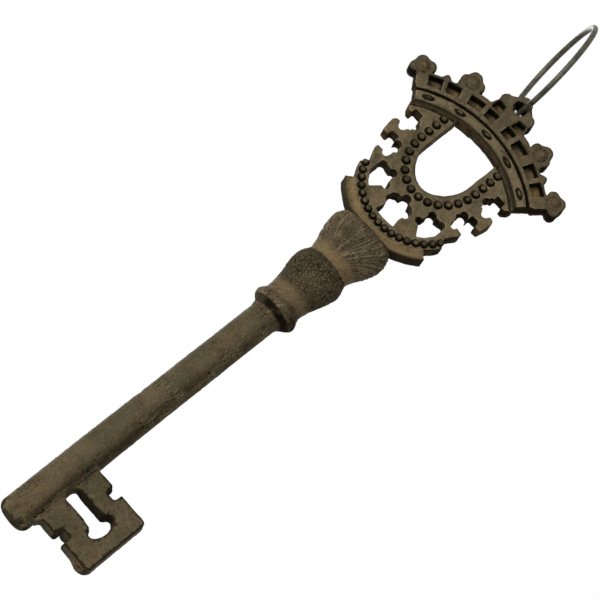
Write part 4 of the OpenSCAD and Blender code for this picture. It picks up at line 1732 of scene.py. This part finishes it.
@dataclass
class Studio:
    """The camera of the photograph, a pale floor and soft light."""

    drawing: Drawing
    # The camera's place in the drawing's millimetres, and its three directions
    camera_mm: tuple[float, float, float] = (160.48, -981.3, -202.25)
    right: Vector = field(default_factory=lambda: Vector((0.6649285, -0.1878576, 0.72289668)))
    up: Vector = field(default_factory=lambda: Vector((-0.73274062, -0.35167516, 0.582594)))
    forward: Vector = field(default_factory=lambda: Vector((-0.14478009, 0.91707912, 0.37148973)))
    lens_mm: float = 120.0
    sensor_mm: float = 36.0
    clip_m: tuple[float, float] = (0.05, 20.0)
    # The height up the stem that the lamps face
    middle_z: float = 220.0
    lamps: tuple[Lamp, ...] = (
        Lamp("key_light", -0.55, 0.8, 1.1, 0.8, 20.0),
        Lamp("fill_light", 0.9, -0.2, 1.0, 1.2, 3.0),
        Lamp("back_light", -0.5, 0.4, -1.4, 1.2, 16.0),
    )
    # The floor's height and half its side, in metres
    floor_z: float = -1.25
    floor_half: float = 6.0
    floor_colour: str = "#f2f1ee"
    floor_roughness: float = 0.9
    # The camera sees the floor paler than the lamps alone make it, with its shadow kept
    floor_lift: float = 0.45
    # The strength of the light from all round
    world_strength: float = 0.42

    def camera(self) -> None:
        """Puts the camera where the photograph was taken from."""
        data = bpy.data.cameras.new("camera")
        data.sensor_width = self.sensor_mm
        data.lens = self.lens_mm
        data.clip_start, data.clip_end = self.clip_m
        obj = new_object("camera", data)
        turn = Matrix((self.right, self.up, -self.forward)).transposed().to_4x4()
        obj.matrix_world = Matrix.Translation(self.drawing.point(*self.camera_mm)) @ turn
        bpy.context.scene.camera = obj

    def floor(self) -> None:
        """Lays the pale floor, well below the hanging key."""
        half, z = self.floor_half, self.floor_z
        corners = [(-half, -half, z), (half, -half, z), (half, half, z), (-half, half, z)]
        mesh = bpy.data.meshes.new("floor")
        mesh.from_pydata(corners, [], [(0, 1, 2, 3)])
        material, tree, shader = new_material("matt_white_card")
        shader.inputs["Base Color"].default_value = linear(self.floor_colour)
        shader.inputs["Roughness"].default_value = self.floor_roughness
        shader.inputs["Emission Color"].default_value = WHITE
        inputs = {0: add_node(tree, "ShaderNodeLightPath").outputs["Is Camera Ray"], 1: self.floor_lift}
        lift = add_node(tree, "ShaderNodeMath", inputs, operation="MULTIPLY").outputs[0]
        tree.links.new(lift, shader.inputs["Emission Strength"])
        mesh.materials.append(material)
        new_object("floor", mesh)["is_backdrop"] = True

    def light(self, lamp: Lamp) -> None:
        """Hangs up one lamp.

        Args:
            lamp: where it hangs, its size and its power.
        """
        middle = self.drawing.point(0.0, 0.0, self.middle_z)
        place = middle + self.right * lamp.right + self.up * lamp.up - self.forward * lamp.towards
        data = bpy.data.lights.new(lamp.name, "AREA")
        data.size = lamp.size
        data.energy = lamp.watts
        obj = new_object(lamp.name, data)
        obj.location = place
        obj.rotation_mode = "QUATERNION"
        obj.rotation_quaternion = (middle - place).to_track_quat("-Z", "Y")

    def world(self) -> None:
        """Surrounds the scene with even light; the camera and reflections see it as white."""
        world = bpy.data.worlds.new("room")
        bpy.context.scene.world = world
        world.use_nodes = True
        tree = world.node_tree
        tree.nodes.clear()
        rays = add_node(tree, "ShaderNodeLightPath").outputs
        seen = rays["Is Camera Ray"]
        for kind in ("Is Glossy Ray", "Is Transmission Ray"):
            seen = add_node(tree, "ShaderNodeMath", {0: seen, 1: rays[kind]}, operation="MAXIMUM").outputs[0]
        inputs = {0: seen}
        for socket, strength in ((1, self.world_strength), (2, 1.0)):
            background = add_node(tree, "ShaderNodeBackground", {"Color": WHITE, "Strength": strength})
            inputs[socket] = background.outputs["Background"]
        pick = add_node(tree, "ShaderNodeMixShader", inputs)
        add_node(tree, "ShaderNodeOutputWorld", {"Surface": pick.outputs["Shader"]})

    def build(self) -> None:
        """Sets up the whole studio."""
        self.camera()
        self.floor()
        self.world()
        for lamp in self.lamps:
            self.light(lamp)
        bpy.context.scene.view_settings.view_transform = "Standard"


def main() -> None:
    """Builds every piece in order and reports each one."""
    logging.basicConfig(level=logging.INFO, format="%(name)s: %(message)s")
    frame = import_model()
    drawing = Drawing.of_frame()
    Studio(drawing).build()

    grey = CastIronFinish("sand_cast_grey_iron").build()
    worn = CastIronFinish("rubbed_sand_cast_grey_iron", face="#5c503c", face_dark="#40372a").build()
    rusty = CastIronFinish("rusted_sand_cast_grey_iron", face="#6d5e43", face_dark="#473b27").build()
    wire = WireFinish().build()

    beads = Beads(drawing)
    stem_nodes = ("shank", "bit", "collar")
    finials = ("inner_finial_left", "inner_finial_right", "outer_finial_left", "outer_finial_right")
    crown_nodes = ("crown_band", "arcade", "hanger_lug", *finials)
    # The stem is the largest form, so its voxels are a little coarser
    stem_skin = Skin(3, voxel_mm=0.455, lump_mm=0.13, rounding=3)
    low_skin, high_skin = Skin(4, voxel_mm=0.34), Skin(5, voxel_mm=0.34)
    tracery_skin = Skin(8, rounding=3)
    crown = Crown(drawing, "crown_casting", crown_nodes, Slot.WORN_IRON, Skin(2, lump_mm=0.4))
    castings = (
        (Stem(drawing, "shank_bit_and_collar", stem_nodes, Slot.GREY_IRON, stem_skin), grey),
        (LowerVase(drawing, "lower_vase_casting", ("lower_vase",), Slot.GREY_IRON, low_skin), grey),
        (UpperVase(drawing, "upper_vase_casting", ("upper_vase",), Slot.WORN_IRON, high_skin), worn),
        (Cradle(drawing, "cradle_casting", ("cradle",), Slot.RUSTY_IRON, Skin(6)), rusty),
        (Tracery(drawing, "tracery_casting", ("tracery",), Slot.GREY_IRON, tracery_skin, beads), grey),
        (crown, worn),
    )
    for form, finish in castings:
        form.build(frame, finish)
    beads.build(worn)
    crown.gems().build(worn)
    WireRing(drawing).build(wire)


if __name__ == "__main__":
    main()
